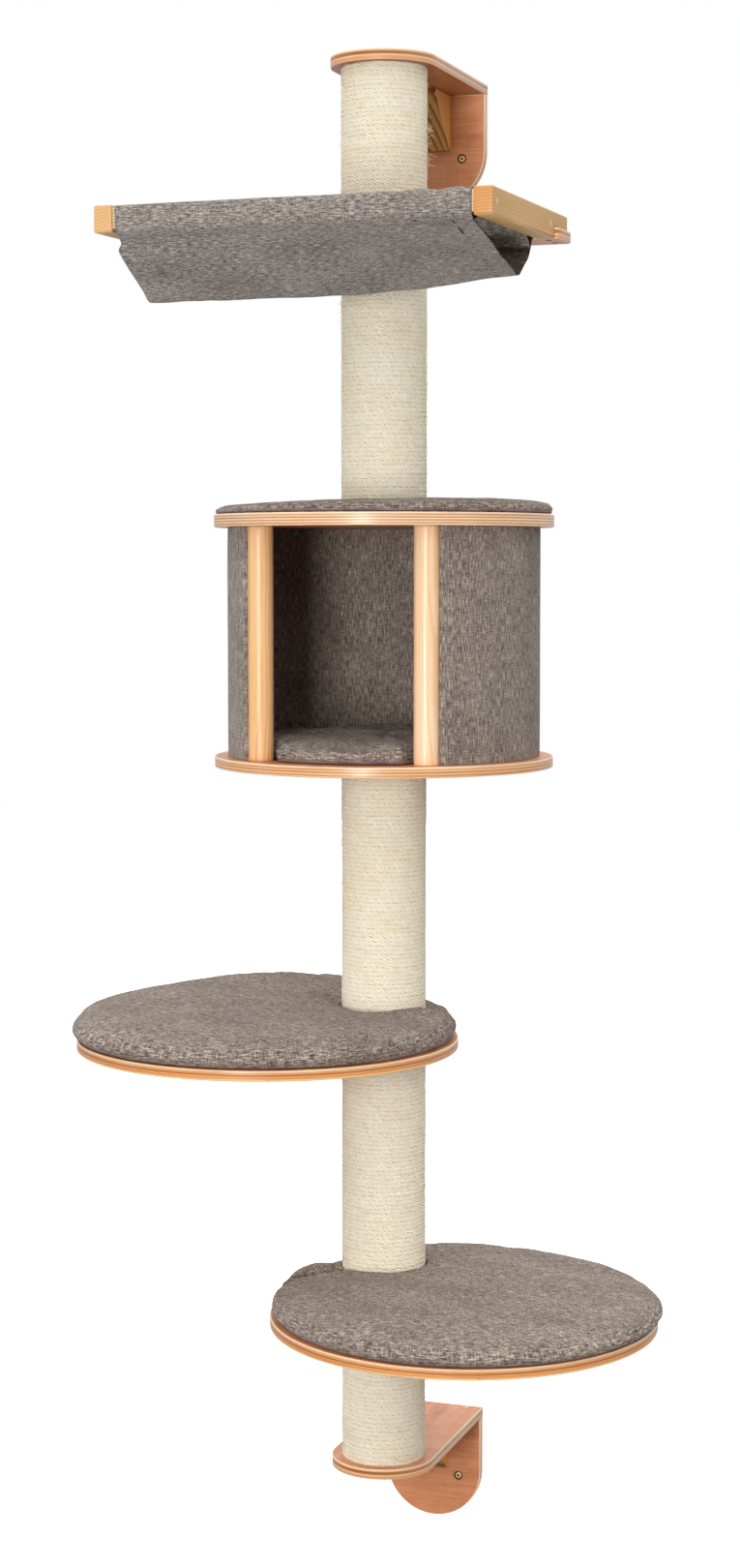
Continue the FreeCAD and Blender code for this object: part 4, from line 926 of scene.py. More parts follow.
# ---------------------------------------------------------------- cushions
def ring_cushion(name, node, centre, R, z0, side_h, crown, slit_deg, body, seed, tilt=None, inner=0.0607, wrinkle=1.0, nphi=320, swell=0.004,
                 shoulder=0.024, lift=0.004):
    """A round cushion with a hole for the post and a slit from the hole to the rim, on a board at z0."""
    ax = np.array([0.0, PY])
    c = np.array(centre) - ax
    slit = math.radians(slit_deg)
    eps = 0.0009
    ncap = 5
    NT, NB, NS, NI = 54, 12, 12, 5
    phis = slit + np.linspace(0, 2 * PI, nphi)
    cols = []
    for k, phi in enumerate(phis):
        d = np.array([math.cos(phi), math.sin(phi)])
        cd = c @ d
        rho = cd + math.sqrt(R * R - c @ c + cd * cd)
        cols.append((d, rho))
    NL = NB + NS + NT + NI
    V = np.zeros((nphi, NL, 3))
    kind = np.zeros(NL, int)          # 0 bottom, 1 outer side, 2 top, 3 inner side
    for k, (d, rho) in enumerate(cols):
        span = rho - inner
        endk = min(k, nphi - 1 - k)
        # the ends at the slit are rounded off
        close = 1.0 if endk >= ncap else math.sqrt(max(0.0, 1 - (1 - (endk + 0.35) / (ncap + 0.35)) ** 2))
        close = 0.86 + 0.14 * close
        off = eps * (1 if k < nphi / 2 else -1)
        perp = np.array([-d[1], d[0]])
        L = []
        for q in range(NB):
            s = q / NB
            L.append((inner + 0.004 + (span - 0.010) * s, 0.0, 0))
        rb = min(0.012, side_h * 0.46)
        for q in range(NS):                                   # the rounded side
            a = -PI / 2 + (q + 0.5) / NS * (PI * 0.86)
            L.append((rho - rb + rb * math.cos(a) + (swell * math.sin((q + 0.5) / NS * PI)), side_h * (0.5 + 0.5 * math.sin(a)) * 1.0, 1))
        for q in range(NT):                                   # the top, from the rim inwards
            s = (q + 0.5) / NT
            s = s + 0.10 * math.sin(2 * PI * s) / (2 * PI) * -2.2
            L.append((rho - 0.003 - (span - 0.0036) * s, side_h, 2))
        for q in range(NI):
            a = q / (NI - 1)
            L.append((inner + 0.0005 + 0.002 * (a - 0.5) ** 2 * 4, side_h * 0.8 * (1 - a) + 0.002, 3))
        for j, (rr, zz, kd) in enumerate(L):
            p = ax + d * rr + perp * off
            V[k, j] = (p[0], p[1], zz)
            kind[j] = kd
        V[k, :, 2] *= close
    # the top is crowned, and rounds down to the rim and to the post
    dx, dy = V[..., 0] - centre[0], V[..., 1] - centre[1]
    rim = R - np.sqrt(dx ** 2 + dy ** 2)
    post = np.sqrt((V[..., 0] - ax[0]) ** 2 + (V[..., 1] - ax[1]) ** 2) - inner
    top = kind[None, :] == 2
    w = shoulder
    edge = np.sqrt(np.clip(1 - (1 - np.clip((rim + 0.001) / w, 0, 1)) ** 2, 0, 1))
    hole = np.sqrt(np.clip(1 - (1 - np.clip((post + 0.0005) / 0.006, 0, 1)) ** 2, 0, 1))
    puff = smooth(0.0, 0.13, rim) * (0.65 + 0.35 * smooth(0.0, 0.08, post))
    H = side_h * 0.90 + (side_h * 0.10 + lift) * edge + crown * puff
    if tilt is not None:
        lean = tilt(V[..., 0], V[..., 1])
        H = H + lean * (0.72 + 0.28 * smooth(0.0, 0.03, rim))
        V[..., 2] += np.where(kind[None, :] == 1, 0.72 * lean * np.clip(V[..., 2] / side_h, 0, 1), 0)
    H = H - 0.0022 * (1 - hole)
    ang = np.arctan2(dy, dx)
    lay = 0.0016 * fbm(V[..., 0] * 9, V[..., 1] * 9, 0.0, seed, 3) + 0.0006 * fbm(V[..., 0] * 34, V[..., 1] * 34, 0.0, seed + 5, 2)
    # soft folds run out from the post
    pa = np.arctan2(V[..., 1] - ax[1], V[..., 0] - ax[0])
    fold = 0.0022 * vnoise(pa * 3.2, post * 9, seed=seed + 9) * np.exp(-post / 0.09) * smooth(0.0, 0.012, post)
    H = H + wrinkle * (lay * (0.4 + 0.6 * smooth(0.0, 0.07, rim)) + fold)
    V[..., 2] = np.where(top, np.maximum(H, 0.004) * np.minimum(1, V[..., 2] / side_h), V[..., 2])
    V[..., 2] += z0 + 0.0004
    rim_wave = 0.0006 * vnoise(ang * 4.0, 0.3, seed=seed + 2)
    sidek = (kind[None, :] == 1)
    V[..., 0] += np.where(sidek, dx / R * rim_wave, 0)
    V[..., 1] += np.where(sidek, dy / R * rim_wave, 0)
    faces, ci, cj = grid_faces(nphi, NL, wv=True)
    # the grid runs anti-clockwise and the loop outwards below, so the faces look outwards
    F = [tuple(f) for f in faces]
    U = []
    P = V.reshape(-1, 3)
    arc = ang.reshape(-1) * R
    kf = kind[cj[:, 0] % NL]
    for f, k2 in zip(faces, kf):
        if k2 in (0, 2):
            U += [(P[x, 0], P[x, 1]) for x in f]
        else:
            a0 = arc[f[0]]
            for x in f:
                a1 = arc[x]
                if a1 - a0 > PI * R:
                    a1 -= 2 * PI * R
                elif a1 - a0 < -PI * R:
                    a1 += 2 * PI * R
                U.append((a1, P[x, 2]))
    for cap, k in ((list(range(NL)), 0), (list(range((nphi - 1) * NL, nphi * NL)), 1)):
        f = cap[::-1] if k == 0 else cap
        F.append(f)
        U += [(P[x, 0] + P[x, 1], P[x, 2]) for x in f]
    ob = add_mesh(name, P, F, [M_CUSHION], None, {"Cloth": U}, None, body, (node,))
    fix_normals(ob)
    return ob, kind, nphi, NL


def fix_normals(ob):
    """Turns a closed piece's faces outwards if they look inwards."""
    me = ob.data
    me.calc_loop_triangles()
    co = np.zeros(len(me.vertices) * 3)
    me.vertices.foreach_get("co", co)
    co = co.reshape(-1, 3)
    tri = np.zeros(len(me.loop_triangles) * 3, np.int32)
    me.loop_triangles.foreach_get("vertices", tri)
    a, b, c = (co[tri.reshape(-1, 3)[:, k]] for k in range(3))
    o = co.mean(0)
    if float((np.cross(b - o, c - o) * (a - o)).sum()) < 0:
        me.flip_normals()


def inflate(ob, pinned, pressure, frames, cap, slack=0.0, bend=0.6):
    """Lets the cloth of a stuffed piece swell and settle, then keeps the result. pinned: one weight per vertex."""
    me = ob.data
    n = len(me.vertices)
    rest = np.zeros(n * 3)
    me.vertices.foreach_get("co", rest)
    rest = rest.reshape(-1, 3)
    g = ob.vertex_groups.new(name="pin")
    for wv in np.unique(np.round(pinned, 2)):
        if wv > 0:
            g.add([int(x) for x in np.nonzero(np.round(pinned, 2) == wv)[0]], float(wv), "REPLACE")
    md = ob.modifiers.new("Cloth", "CLOTH")
    s = md.settings
    s.quality = 5
    s.mass = 0.3
    s.tension_stiffness = 18
    s.compression_stiffness = 18
    s.shear_stiffness = 8
    s.bending_stiffness = bend
    s.use_pressure = True
    s.uniform_pressure_force = pressure
    s.shrink_min = -slack
    s.vertex_group_mass = "pin"
    s.pin_stiffness = 1.0
    s.effector_weights.gravity = 0.0
    md.collision_settings.use_collision = False
    md.collision_settings.use_self_collision = False
    md.point_cache.frame_start = 1
    md.point_cache.frame_end = frames
    for f in range(1, frames + 1):
        SCENE.frame_set(f)
    dg = bpy.context.evaluated_depsgraph_get()
    ev = ob.evaluated_get(dg).data
    co = np.zeros(n * 3)
    ev.vertices.foreach_get("co", co)
    co = co.reshape(-1, 3)
    ob.modifiers.remove(md)
    ob.vertex_groups.clear()
    SCENE.frame_set(1)
    mv = co - rest
    ln = np.linalg.norm(mv, axis=1)
    print("inflate", ob.name, "verts", n, "moved max %.4f mean %.4f" % (np.nanmax(ln), np.nanmean(ln)))
    mv[~np.isfinite(mv)] = 0
    mv *= np.minimum(1, cap / np.maximum(ln, 1e-9))[:, None]
    me.vertices.foreach_set("co", (rest + mv).ravel())
    me.update()


def binding_ring(name, centre, R, z0, body, slit_deg=None, h=0.0048, t=0.0011, seed=0, path=None, n=400):
    """The narrow tape round a cushion's lower rim."""
    prof = [(-t * 0.2, 0.0), (t * 0.8, 0.0005), (t, h * 0.3), (t, h * 0.7), (t * 0.75, h - 0.0004), (-t * 0.2, h), (-t * 0.7, h * 0.5)]
    ang = np.arange(n) / n * 2 * PI
    if path is None:
        rr = R + 0.0006 * vnoise(ang * 4, 0.7, seed=seed)
    else:
        rr = path(ang)
    zz = z0 + 0.0004 + 0.0004 * (vnoise(ang * 9, 2.0, seed=seed + 1) + 1)
    V = []
    for a, r, z in zip(ang, rr, zz):
        for pr, ph in prof:
            V.append((centre[0] + (r + pr) * math.cos(a), centre[1] + (r + pr) * math.sin(a), z + ph))
    faces, _, _ = grid_faces(n, len(prof), True, True)
    ob = add_mesh(name, V, [tuple(f) for f in faces], [M_BIND], body=body)
    fix_normals(ob)
    return ob


def shelf_cushion(tag, node, centre, z0, slit, body, seed, tilt):
    ob, kind, nphi, NL = ring_cushion(f"{tag}_cushion_cover", node, centre, 0.2665, z0, 0.026, 0.006, slit, body, seed, tilt)
    P = np.array([v.co for v in ob.data.vertices])
    kd = np.tile(kind, nphi)
    rim = 0.2665 - np.hypot(P[:, 0] - centre[0], P[:, 1] - centre[1])
    post = np.hypot(P[:, 0], P[:, 1] - PY) - 0.0625
    pin = np.where(kd == 0, 1.0, 0.0)
    pin = np.where((kd == 1) & (P[:, 2] < z0 + 0.007), 1.0, pin)
    pin = np.where((kd == 3), 1.0, pin)
    pin = np.where((kd == 2) & (post < 0.004), 1.0, pin)
    inflate(ob, pin, 3.0, 13, 0.006, slack=0.010)
    binding_ring(f"{tag}_cushion_binding", (centre[0] + 0.001, centre[1]), 0.2630, z0 + 0.0006, body, seed=seed)
    return ob


def bump_at(x, y, cx, cy, sx, sy, deg=0.0):
    c, k = math.cos(math.radians(deg)), math.sin(math.radians(deg))
    u, v = (x - cx) * c + (y - cy) * k, -(x - cx) * k + (y - cy) * c
    return np.exp(-(u / sx) ** 2 - (v / sy) ** 2)


def back1(x, y):
    """The upper shelf's cushion stands up towards the wall on the left, and against the post's front."""
    wave = 0.017 * bump_at(x, y, -0.215, -0.075, 0.170, 0.120) + 0.009 * bump_at(x, y, -0.09, -0.10, 0.06, 0.07)
    wave = wave + 0.010 * smooth(0.02, -0.26, x) * smooth(-0.56, -0.30, y)
    push = 0.009 * bump_at(x, y, 0.062, -0.290, 0.048, 0.042) + 0.004 * bump_at(x, y, -0.060, -0.275, 0.03, 0.03)
    dip = -0.005 * bump_at(x, y, -0.075, -0.275, 0.03, 0.05)
    return wave + push + dip


def back2(x, y):
    """The lower shelf's cushion: the lobe behind the slit and the edge in front of it part in height."""
    a = np.arctan2(y - PY, x)
    w = (a - math.radians(228) + PI) % (2 * PI) - PI                      # 0 at the slit
    near = np.hypot(x, y - PY)
    front = 0.0045 * np.exp(-((w - 0.20) / 0.22) ** 2) * smooth(0.055, 0.08, near)
    valley = -0.0035 * np.exp(-((w + 0.02) / 0.12) ** 2)
    right = -0.0085 * smooth(0.02, 0.34, x)
    left = 0.0060 * bump_at(x, y, -0.110, -0.345, 0.040, 0.045) - 0.0065 * bump_at(x, y, -0.085, -0.210, 0.050, 0.050)
    return front + valley + right + left


CC1 = (C1[0] - 0.004, C1[1])
CC2 = (C2[0] + 0.004, C2[1])
shelf_cushion("upper_shelf", "upper_shelf_cushion", CC1, 0.729, 105, "upper_shelf", 21, back1)
shelf_cushion("lower_shelf", "lower_shelf_cushion", CC2, 0.357, 228, "lower_shelf", 43, back2)

ob, kind, nphi, NL = ring_cushion("cave_roof_cushion_cover", "cave_roof_cushion", (0.0, PY), 0.2355, 1.464, 0.0105, 0.0025, 95, "cave", 61, lambda x, y: 0.0165 * x, wrinkle=0.45,
                                   nphi=300, swell=0.002, shoulder=0.045, lift=0.0045)
P = np.array([v.co for v in ob.data.vertices])
kd = np.tile(kind, nphi)
pin = np.where((kd == 0) | (kd == 3) | ((kd == 1) & (P[:, 2] < 1.469)), 1.0, 0.0)
inflate(ob, pin, 1.5, 9, 0.002, slack=0.004)
binding_ring("cave_roof_cushion_binding", (0.0, PY), 0.2362, 1.4645, "cave", h=0.0034, seed=8)

# the cave's floor cushion, cut back beside the two pillars
DA = [math.atan2(sum(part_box(f"cave_dowel_{s}")[k][1] for k in (0, 1)) / 2 - PY, sum(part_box(f"cave_dowel_{s}")[k][0] for k in (0, 1)) / 2) for s in ("left", "right")]


def floor_rim(a, R=0.2045):
    out = R + 0.0014 * vnoise(np.asarray(a) * 5, 1.7, seed=31)
    for d in DA:
        w = (np.asarray(a) - d + PI) % (2 * PI) - PI
        out = out - (R - 0.1815) * np.exp(-(w / math.radians(8.5)) ** 4)
    return out


def floor_cushion():
    z0, side_h, crown = 1.124, 0.020, 0.009
    NP, NT, NS, NB = 288, 40, 10, 8
    ang = np.arange(NP) / NP * 2 * PI
    rim = floor_rim(ang)
    L = [(s / NB, 0.0, 0) for s in range(1, NB)]
    V, kind = [], []
    for a, R in zip(ang, rim):
        for s, _, _ in L:
            V.append([R * 0.97 * s * math.cos(a), PY + R * 0.97 * s * math.sin(a), z0 + 0.0004])
            kind.append(0)
        for q in range(NS):
            t = -PI / 2 + (q + 0.5) / NS * PI * 0.86
            rr = R - 0.005 + 0.005 * math.cos(t) + 0.002 * math.sin((q + 0.5) / NS * PI)
            V.append([rr * math.cos(a), PY + rr * math.sin(a), z0 + 0.0004 + side_h * (0.5 + 0.5 * math.sin(t))])
            kind.append(1)
        for q in range(NT):
            s = 1 - (q + 0.4) / NT
            rr = (R - 0.002) * s
            d = R - rr
            e = math.sqrt(max(0, 1 - (1 - min(1, d / 0.011)) ** 2))
            h = side_h * 0.9 + (side_h * 0.1 + 0.003) * e + crown * float(smooth(0, 0.10, d))
            V.append([rr * math.cos(a), PY + rr * math.sin(a), z0 + h])
            kind.append(2)
    V = np.array(V)
    NL = len(V) // NP
    kind = np.array(kind)
    top = kind == 2
    V[top, 2] += (0.007 * bump_at(V[:, 0], V[:, 1], -0.125, -0.395, 0.06, 0.05) + 0.005 * bump_at(V[:, 0], V[:, 1], 0.125, -0.395, 0.05, 0.05)
                  - 0.004 * bump_at(V[:, 0], V[:, 1], 0.0, -0.44, 0.07, 0.06))[top]
    V[top, 2] += (0.0022 * fbm(V[:, 0] * 13, V[:, 1] * 13, 0, 71, 3) + 0.0008 * fbm(V[:, 0] * 40, V[:, 1] * 40, 0, 72, 2))[top]
    faces, ci, cj = grid_faces(NP, NL, wu=True)
    F = [tuple(f) for f in faces]
    U = []
    kf = kind[:NL][cj[:, 0]]
    for f, c, k2 in zip(faces, ci, kf):
        for x, cc in zip(f, c):
            U.append((V[x, 0], V[x, 1]) if k2 != 1 else (cc / NP * 2 * PI * 0.2, V[x, 2]))
    lo, hi = [i * NL for i in range(NP)], [i * NL + NL - 1 for i in range(NP)]
    for cap in (lo[::-1], hi):
        F.append(cap)
        U += [(V[x, 0], V[x, 1]) for x in cap]
    o = add_mesh("cave_floor_cushion_cover", V, F, [M_CUSHION], None, {"Cloth": U}, None, "cave", ("cave_floor_cushion",))
    fix_normals(o)
    pin = np.where((kind == 0) | ((kind == 1) & (V[:, 2] < z0 + 0.006)), 1.0, 0.0)
    inflate(o, pin, 3.0, 12, 0.006, slack=0.010)
    binding_ring("cave_floor_cushion_binding", (0.0, PY), 0.2, z0 + 0.0006, "cave", h=0.0045, seed=12, path=lambda a: floor_rim(a) + 0.0004)


floor_cushion()


# ---------------------------------------------------------------- the cave's cloth wall
def cave_cover():
    turn = math.radians(-0.7)
    half = math.radians(41.2)
    R1, R2 = 0.2212, 0.2108
    a0, a1 = -PI / 2 + half + turn, -PI / 2 - half + 2 * PI + turn
    NA = 260
    rows = 34
    pts = []
    for k in range(NA):
        a = a0 + (a1 - a0) * k / (NA - 1)
        pts.append((R1, a, 0))
    for k in range(1, 8):
        t = k / 8 * PI
        rm, rd = (R1 + R2) / 2, (R1 - R2) / 2
        pts.append((rm + rd * math.cos(t), a1 + rd * math.sin(t) / rm, 1))
    for k in range(NA):
        a = a1 + (a0 - a1) * k / (NA - 1)
        pts.append((R2, a, 2))
    for k in range(1, 8):
        t = k / 8 * PI
        rm, rd = (R1 + R2) / 2, (R1 - R2) / 2
        pts.append((rm - rd * math.cos(t), a0 - rd * math.sin(t) / rm, 3))
    n = len(pts)
    z = np.concatenate([1.1243 + np.array([0, 0.0012, 0.003]), np.linspace(1.130, 1.440, rows - 6), 1.4457 - np.array([0.003, 0.0012, 0])])
    rr = np.array([p[0] for p in pts])[:, None] + 0 * z[None, :]
    aa = np.array([p[1] for p in pts])[:, None] + 0 * z[None, :]
    out = np.array([p[2] for p in pts])[:, None] == 0
    # small puckers where the cloth is tucked in above and below, and long soft waves between
    end = np.exp(-(z[None, :] - 1.1243) / 0.016) + np.exp(-(1.4457 - z[None, :]) / 0.016)
    rr = rr + 0.0007 * vnoise(aa * 26, 0.0, seed=5) * end * np.where(out, 1, 0.7)
    rr = rr + 0.0005 * vnoise(aa * 9, z[None, :] * 3.5, seed=6)
    rr = rr - 0.0009 * end * 0.6
    # a small pucker low on the back, inside
    rr = rr - np.where(out, 0, 0.0045 * np.exp(-((aa - math.radians(116)) * R2 / 0.0035) ** 2) * np.exp(-((z[None, :] - 1.158) / 0.014) ** 2))
    # the hem beside the doorway
    d0 = np.minimum(np.abs(aa - a0), np.abs(aa - a1)) * R1
    rr = rr + np.where(out, 0.0007 * (1 - smooth(0.013, 0.0165, d0)), 0)
    V = np.stack([rr * np.cos(aa), PY + rr * np.sin(aa), 0 * rr + z[None, :]], 2)
    s = np.concatenate([[0], np.cumsum(np.hypot(*np.diff(np.stack([V[:, 0, 0], V[:, 0, 1]]), axis=1)))])
    total = s[-1] + float(np.hypot(V[0, 0, 0] - V[-1, 0, 0], V[0, 0, 1] - V[-1, 0, 1]))
    s = np.concatenate([s, [total]])
    faces, ci, cj = grid_faces(n, len(z), wu=True)
    U = np.stack([s[ci], z[cj]], 2).reshape(-1, 2)
    o = add_mesh("cave_cloth_wall", V.reshape(-1, 3), [tuple(f) for f in faces], [M_CAVE], None, {"Cloth": U}, None, "cave", ("cave_wall_cover",))
    # stitches of the hem
    paths = []
    for a, sg in ((a0, 1), (a1, -1)):
        for k in range(58):
            zz = 1.1285 + k * 0.0054
            ang = a + sg * 0.0172 / R1
            r = R1 + 0.0006
            paths.append([(r * math.cos(ang), PY + r * math.sin(ang), zz + q * 0.0034 / 3) for q in range(4)])
    Vt, Ft = tubes(paths, 0.00028, 5)
    st = add_mesh("cave_cloth_stitches", Vt, Ft, [M_THREAD], body="cave")


cave_cover()


# ---------------------------------------------------------------- the hammock's cloth
def resample(points, closed=False, step=0.003):
    p = np.asarray(points, float)
    d = np.concatenate([[0], np.cumsum(np.linalg.norm(np.diff(p, axis=0), axis=1))])
    m = max(2, int(round(d[-1] / step)) + 1)
    t = np.linspace(0, d[-1], m)
    return np.stack([np.interp(t, d, p[:, k]) for k in range(p.shape[1])], 1), d[-1]


def bend_path(points, radii):
    """An open line with rounded corners."""
    out = [np.array(points[0], float)]
    for k in range(1, len(points) - 1):
        p0, p1, p2 = (np.array(points[k + d], float) for d in (-1, 0, 1))
        a, b = p0 - p1, p2 - p1
        la, lb = np.linalg.norm(a), np.linalg.norm(b)
        a, b = a / la, b / lb
        t = min(radii[k], 0.48 * la, 0.48 * lb)
        s, e = p1 + a * t, p1 + b * t
        for q in range(9):
            f = q / 8
            out.append((1 - f) ** 2 * s + 2 * f * (1 - f) * p1 + f * f * e)
    out.append(np.array(points[-1], float))
    return np.array(out)


def curve(x, xs, ys):
    """A smooth line through a few points, given as a polynomial where there are three and as eased steps otherwise."""
    if len(xs) == 3:
        k = np.polyfit(xs, ys, 2)
        return np.polyval(k, x)
    fine = np.linspace(xs[0], xs[-1], 400)
    y = np.interp(fine, xs, ys)
    ker = np.hanning(61)
    ker /= ker.sum()
    pad_ = np.concatenate([2 * y[0] - y[30:0:-1], y, 2 * y[-1] - y[-2:-32:-1]])
    return np.interp(x, fine, np.convolve(pad_, ker, "valid"))


def hammock_cloth():
    # the lines that the cloth follows, in the local frame's Y and Z: the front sleeve, the trough, the rear sleeve
    J0, J1 = (-0.3430, -0.0046), (-0.1010, -0.0118)
    front = bend_path([(-0.3418, -0.0026), (-0.3262, 0.0035), (-0.3262, 0.0346), (-0.3555, 0.0346), (-0.3558, 0.0028), J0], [0, 0.005, 0.0022, 0.0028, 0.007, 0])
    rear = bend_path([J1, (-0.0962, 0.0), (-0.0925, 0.0040), (-0.0925, 0.0346), (-0.1215, 0.0346), (-0.1215, 0.0035), (-0.1080, -0.0050), (-0.1023, -0.0112)],
                     [0, 0.02, 0.006, 0.0028, 0.0022, 0.005, 0.006, 0])
    front, lf = resample(front, step=0.0040)
    rear, lr = resample(rear, step=0.0040)
    X0, X1 = -0.2462, 0.2462
    NX, NB = 170, 74
    x = np.linspace(X0, X1, NX)
    st = [-0.246, 0.030, 0.246]
    FY, FZ = curve(x, [-0.246, -0.19, -0.12, 0.030, 0.14, 0.246], [-0.3055, -0.295, -0.284, -0.263, -0.244, -0.225]), curve(x, st, [-0.0465, -0.0450, -0.0365])
    CY = curve(x, st, [-0.2490, -0.1935, -0.1515])
    CZ = curve(x, [-0.246, -0.225, -0.190, -0.15, -0.05, 0.005, 0.065, 0.13, 0.19, 0.249], [-0.0830, -0.0828, -0.0820, -0.0815, -0.0815, -0.0805, -0.0777, -0.0730, -0.0648, -0.0562])
    RY, RZ = curve(x, st, [-0.172, -0.137, -0.1075]), curve(x, st, [-0.040, -0.0325, -0.0225])
    cols, lens = [], []
    for i in range(NX):
        path = bend_path([J0, (FY[i], FZ[i]), (CY[i], CZ[i]), (RY[i], RZ[i]), J1], [0, 0.045, 0.016, 0.035, 0])
        d = np.concatenate([[0], np.cumsum(np.linalg.norm(np.diff(path, axis=0), axis=1))])
        t = np.linspace(0, d[-1], NB)
        lens.append(d[-1])
        mid = np.stack([np.interp(t, d, path[:, k]) for k in (0, 1)], 1)
        cols.append(np.concatenate([front, mid[1:-1], rear]))
    G = np.array(cols)                                     # NX, NS, 2
    NS = G.shape[1]
    lm = float(np.mean(lens))
    s = np.concatenate([np.linspace(0, lf, len(front)), lf + np.linspace(0, lm, NB)[1:-1], lf + lm + np.linspace(0, lr, len(rear))])
    k0, k1 = len(front) - 1, len(front) + NB - 2
    s0, s1 = s[k0], s[k1]
    XX = x[:, None] + 0 * s[None, :]
    S = s[None, :] + 0 * XX
    P = np.stack([XX, G[..., 0], G[..., 1]], 2)
    tu, tv = np.gradient(P, axis=0), np.gradient(P, axis=1)
    nrm = np.cross(tv, tu)
    nrm /= np.linalg.norm(nrm, axis=2)[..., None] + 1e-12      # out of the trough on the front panel
    q = np.clip((S - s0) / (s1 - s0), 0, 1)
    free = np.where((S > s0) & (S < s1), np.sin(PI * q) ** 0.6, 0)
    sl = np.where((S <= s0) | (S >= s1), 1.0, 0.0)
    qc = (CY[:, None] - J0[0]) / (J1[0] - J0[0])                # where the crease lies
    w = free * (0.0026 * fbm(XX * 6.5, S * 10, 0, 401, 3) + 0.0009 * fbm(XX * 22, S * 30, 0, 402, 2))
    rearp = smooth(qc, qc + 0.14, q)
    frontp = 1 - smooth(qc - 0.30, qc, q)
    endw = smooth(0.12, 0.235, np.abs(XX))
    # gathers run slanting down the rear panel near the ends; the front is pulled from its corners
    w += rearp * free * (0.3 + 0.7 * endw) * 0.0034 * vnoise((XX + 0.75 * (S - s1)) * 66, S * 5, seed=404)
    w += frontp * free * endw * 0.0018 * vnoise((XX * 0.8 + S * 0.55) * 40, S * 6, seed=405)
    w += frontp * free * 0.0020 * np.cos(PI * XX / 0.55)
    # a shallow dent runs along the front just under the seam
    w -= 0.0012 * np.exp(-((S - s0 - 0.010) / 0.006) ** 2) * (0.6 + 0.4 * vnoise(XX * 30, 1.3, seed=409))
    w += sl * 0.0005 * fbm(XX * 14, S * 40, 0, 406, 2)
    # the upper edge of the sleeve is a little wavy at the right
    crest = np.exp(-((P[..., 2] - 0.0346) / 0.006) ** 2) * np.exp(-((P[..., 1] + 0.3555) / 0.02) ** 2)
    P = P + nrm * w[..., None]
    P[..., 2] += crest * 0.0013 * np.sin(XX * 2 * PI / 0.055 + 0.6) * smooth(0.10, 0.17, XX) * (1 - smooth(0.225, 0.243, XX))
    low = smooth(0.0, -0.072, P[..., 2])
    P[..., 0] -= np.sign(XX) * 0.0016 * smooth(0.2, 0.246, np.abs(XX)) * (0.5 + 0.5 * vnoise(S * 30, np.sign(XX) * 3.3, seed=408)) + np.sign(XX) * low * 0.0015
    under = smooth(-0.011, -0.021, P[..., 2]) * (1 - np.clip((-0.021 - P[..., 2]) / 0.055, 0, 1)) * frontp
    P[..., 0] -= 0.0078 * under * (1 - smooth(-0.246, -0.17, XX))
    PX, PYY, PZ = hplace(P[..., 0], P[..., 1], P[..., 2])
    faces, ci, cj = grid_faces(NX, NS)
    U = np.stack([x[ci], s[cj]], 2).reshape(-1, 2)
    # material 0, on the trough's inner face, is the painted-shade copy of the cloth; the solidify below puts the cloth
    # itself on the outer face
    o = add_mesh("hammock_cloth", np.stack([PX.ravel(), PYY.ravel(), PZ.ravel()], 1), [tuple(f) for f in faces], [M_HAMMOCK_PAINTED_SHADE, M_HAMMOCK], None, {"Cloth": U},
                 None, "hammock", ("hammock_fabric",))
    md = o.modifiers.new("thick", "SOLIDIFY")
    md.thickness = 0.0014
    md.offset = 0.0
    md.material_offset = 1

    # the lines of stitching along both sleeves and down the hems at both ends
    def point(xq, sq, lift):
        i = (xq - X0) / (X1 - X0) * (NX - 1)
        j = float(np.interp(sq, s, np.arange(NS)))
        i0, j0 = int(np.clip(i, 0, NX - 2)), int(np.clip(j, 0, NS - 2))
        fi, fj = i - i0, j - j0
        v = P[i0, j0] * (1 - fi) * (1 - fj) + P[i0 + 1, j0] * fi * (1 - fj) + P[i0, j0 + 1] * (1 - fi) * fj + P[i0 + 1, j0 + 1] * fi * fj
        v = v + nrm[i0, j0] * lift
        return [float(c) for c in hplace(v[0], v[1], v[2])]
    paths = []
    lift = 0.0009
    for sq in (s0 + 0.0016, s1 - 0.0016):
        n = int((X1 - X0 - 0.012) / 0.0048)
        for k in range(n):
            xa = X0 + 0.006 + k * 0.0048
            for side in (1, -1):
                paths.append([point(xa + u * 0.0031 / 3, sq, side * lift) for u in range(4)])
    for xq in (X0 + 0.0250, X1 - 0.0250):
        n = int((s1 - s0 - 0.01) / 0.0048)
        for k in range(n):
            sa = s0 + 0.005 + k * 0.0048
            for side in (1, -1):
                paths.append([point(xq, sa + u * 0.0031 / 3, side * lift) for u in range(4)])
    Vt, Ft = tubes(paths, 0.00026, 5)
    st_ = add_mesh("hammock_stitches", Vt, Ft, [M_THREAD], body="hammock")
    # short bar tacks beside the right hem
    tacks = []
    for sa, sb in ((s0 - 0.004, s0 + 0.007), (s0 + 0.020, s0 + 0.040)):
        for k in range(5):
            xq = X1 - 0.0262 - 0.0005 * k
            tacks.append([point(xq, sa + (sb - sa) * u / 7, lift + 0.0002) for u in range(8)])
    Vt, Ft = tubes(tacks, 0.00032, 5)
    tk = add_mesh("hammock_bar_tacks", Vt, Ft, [M_TACK], body="hammock")


hammock_cloth()

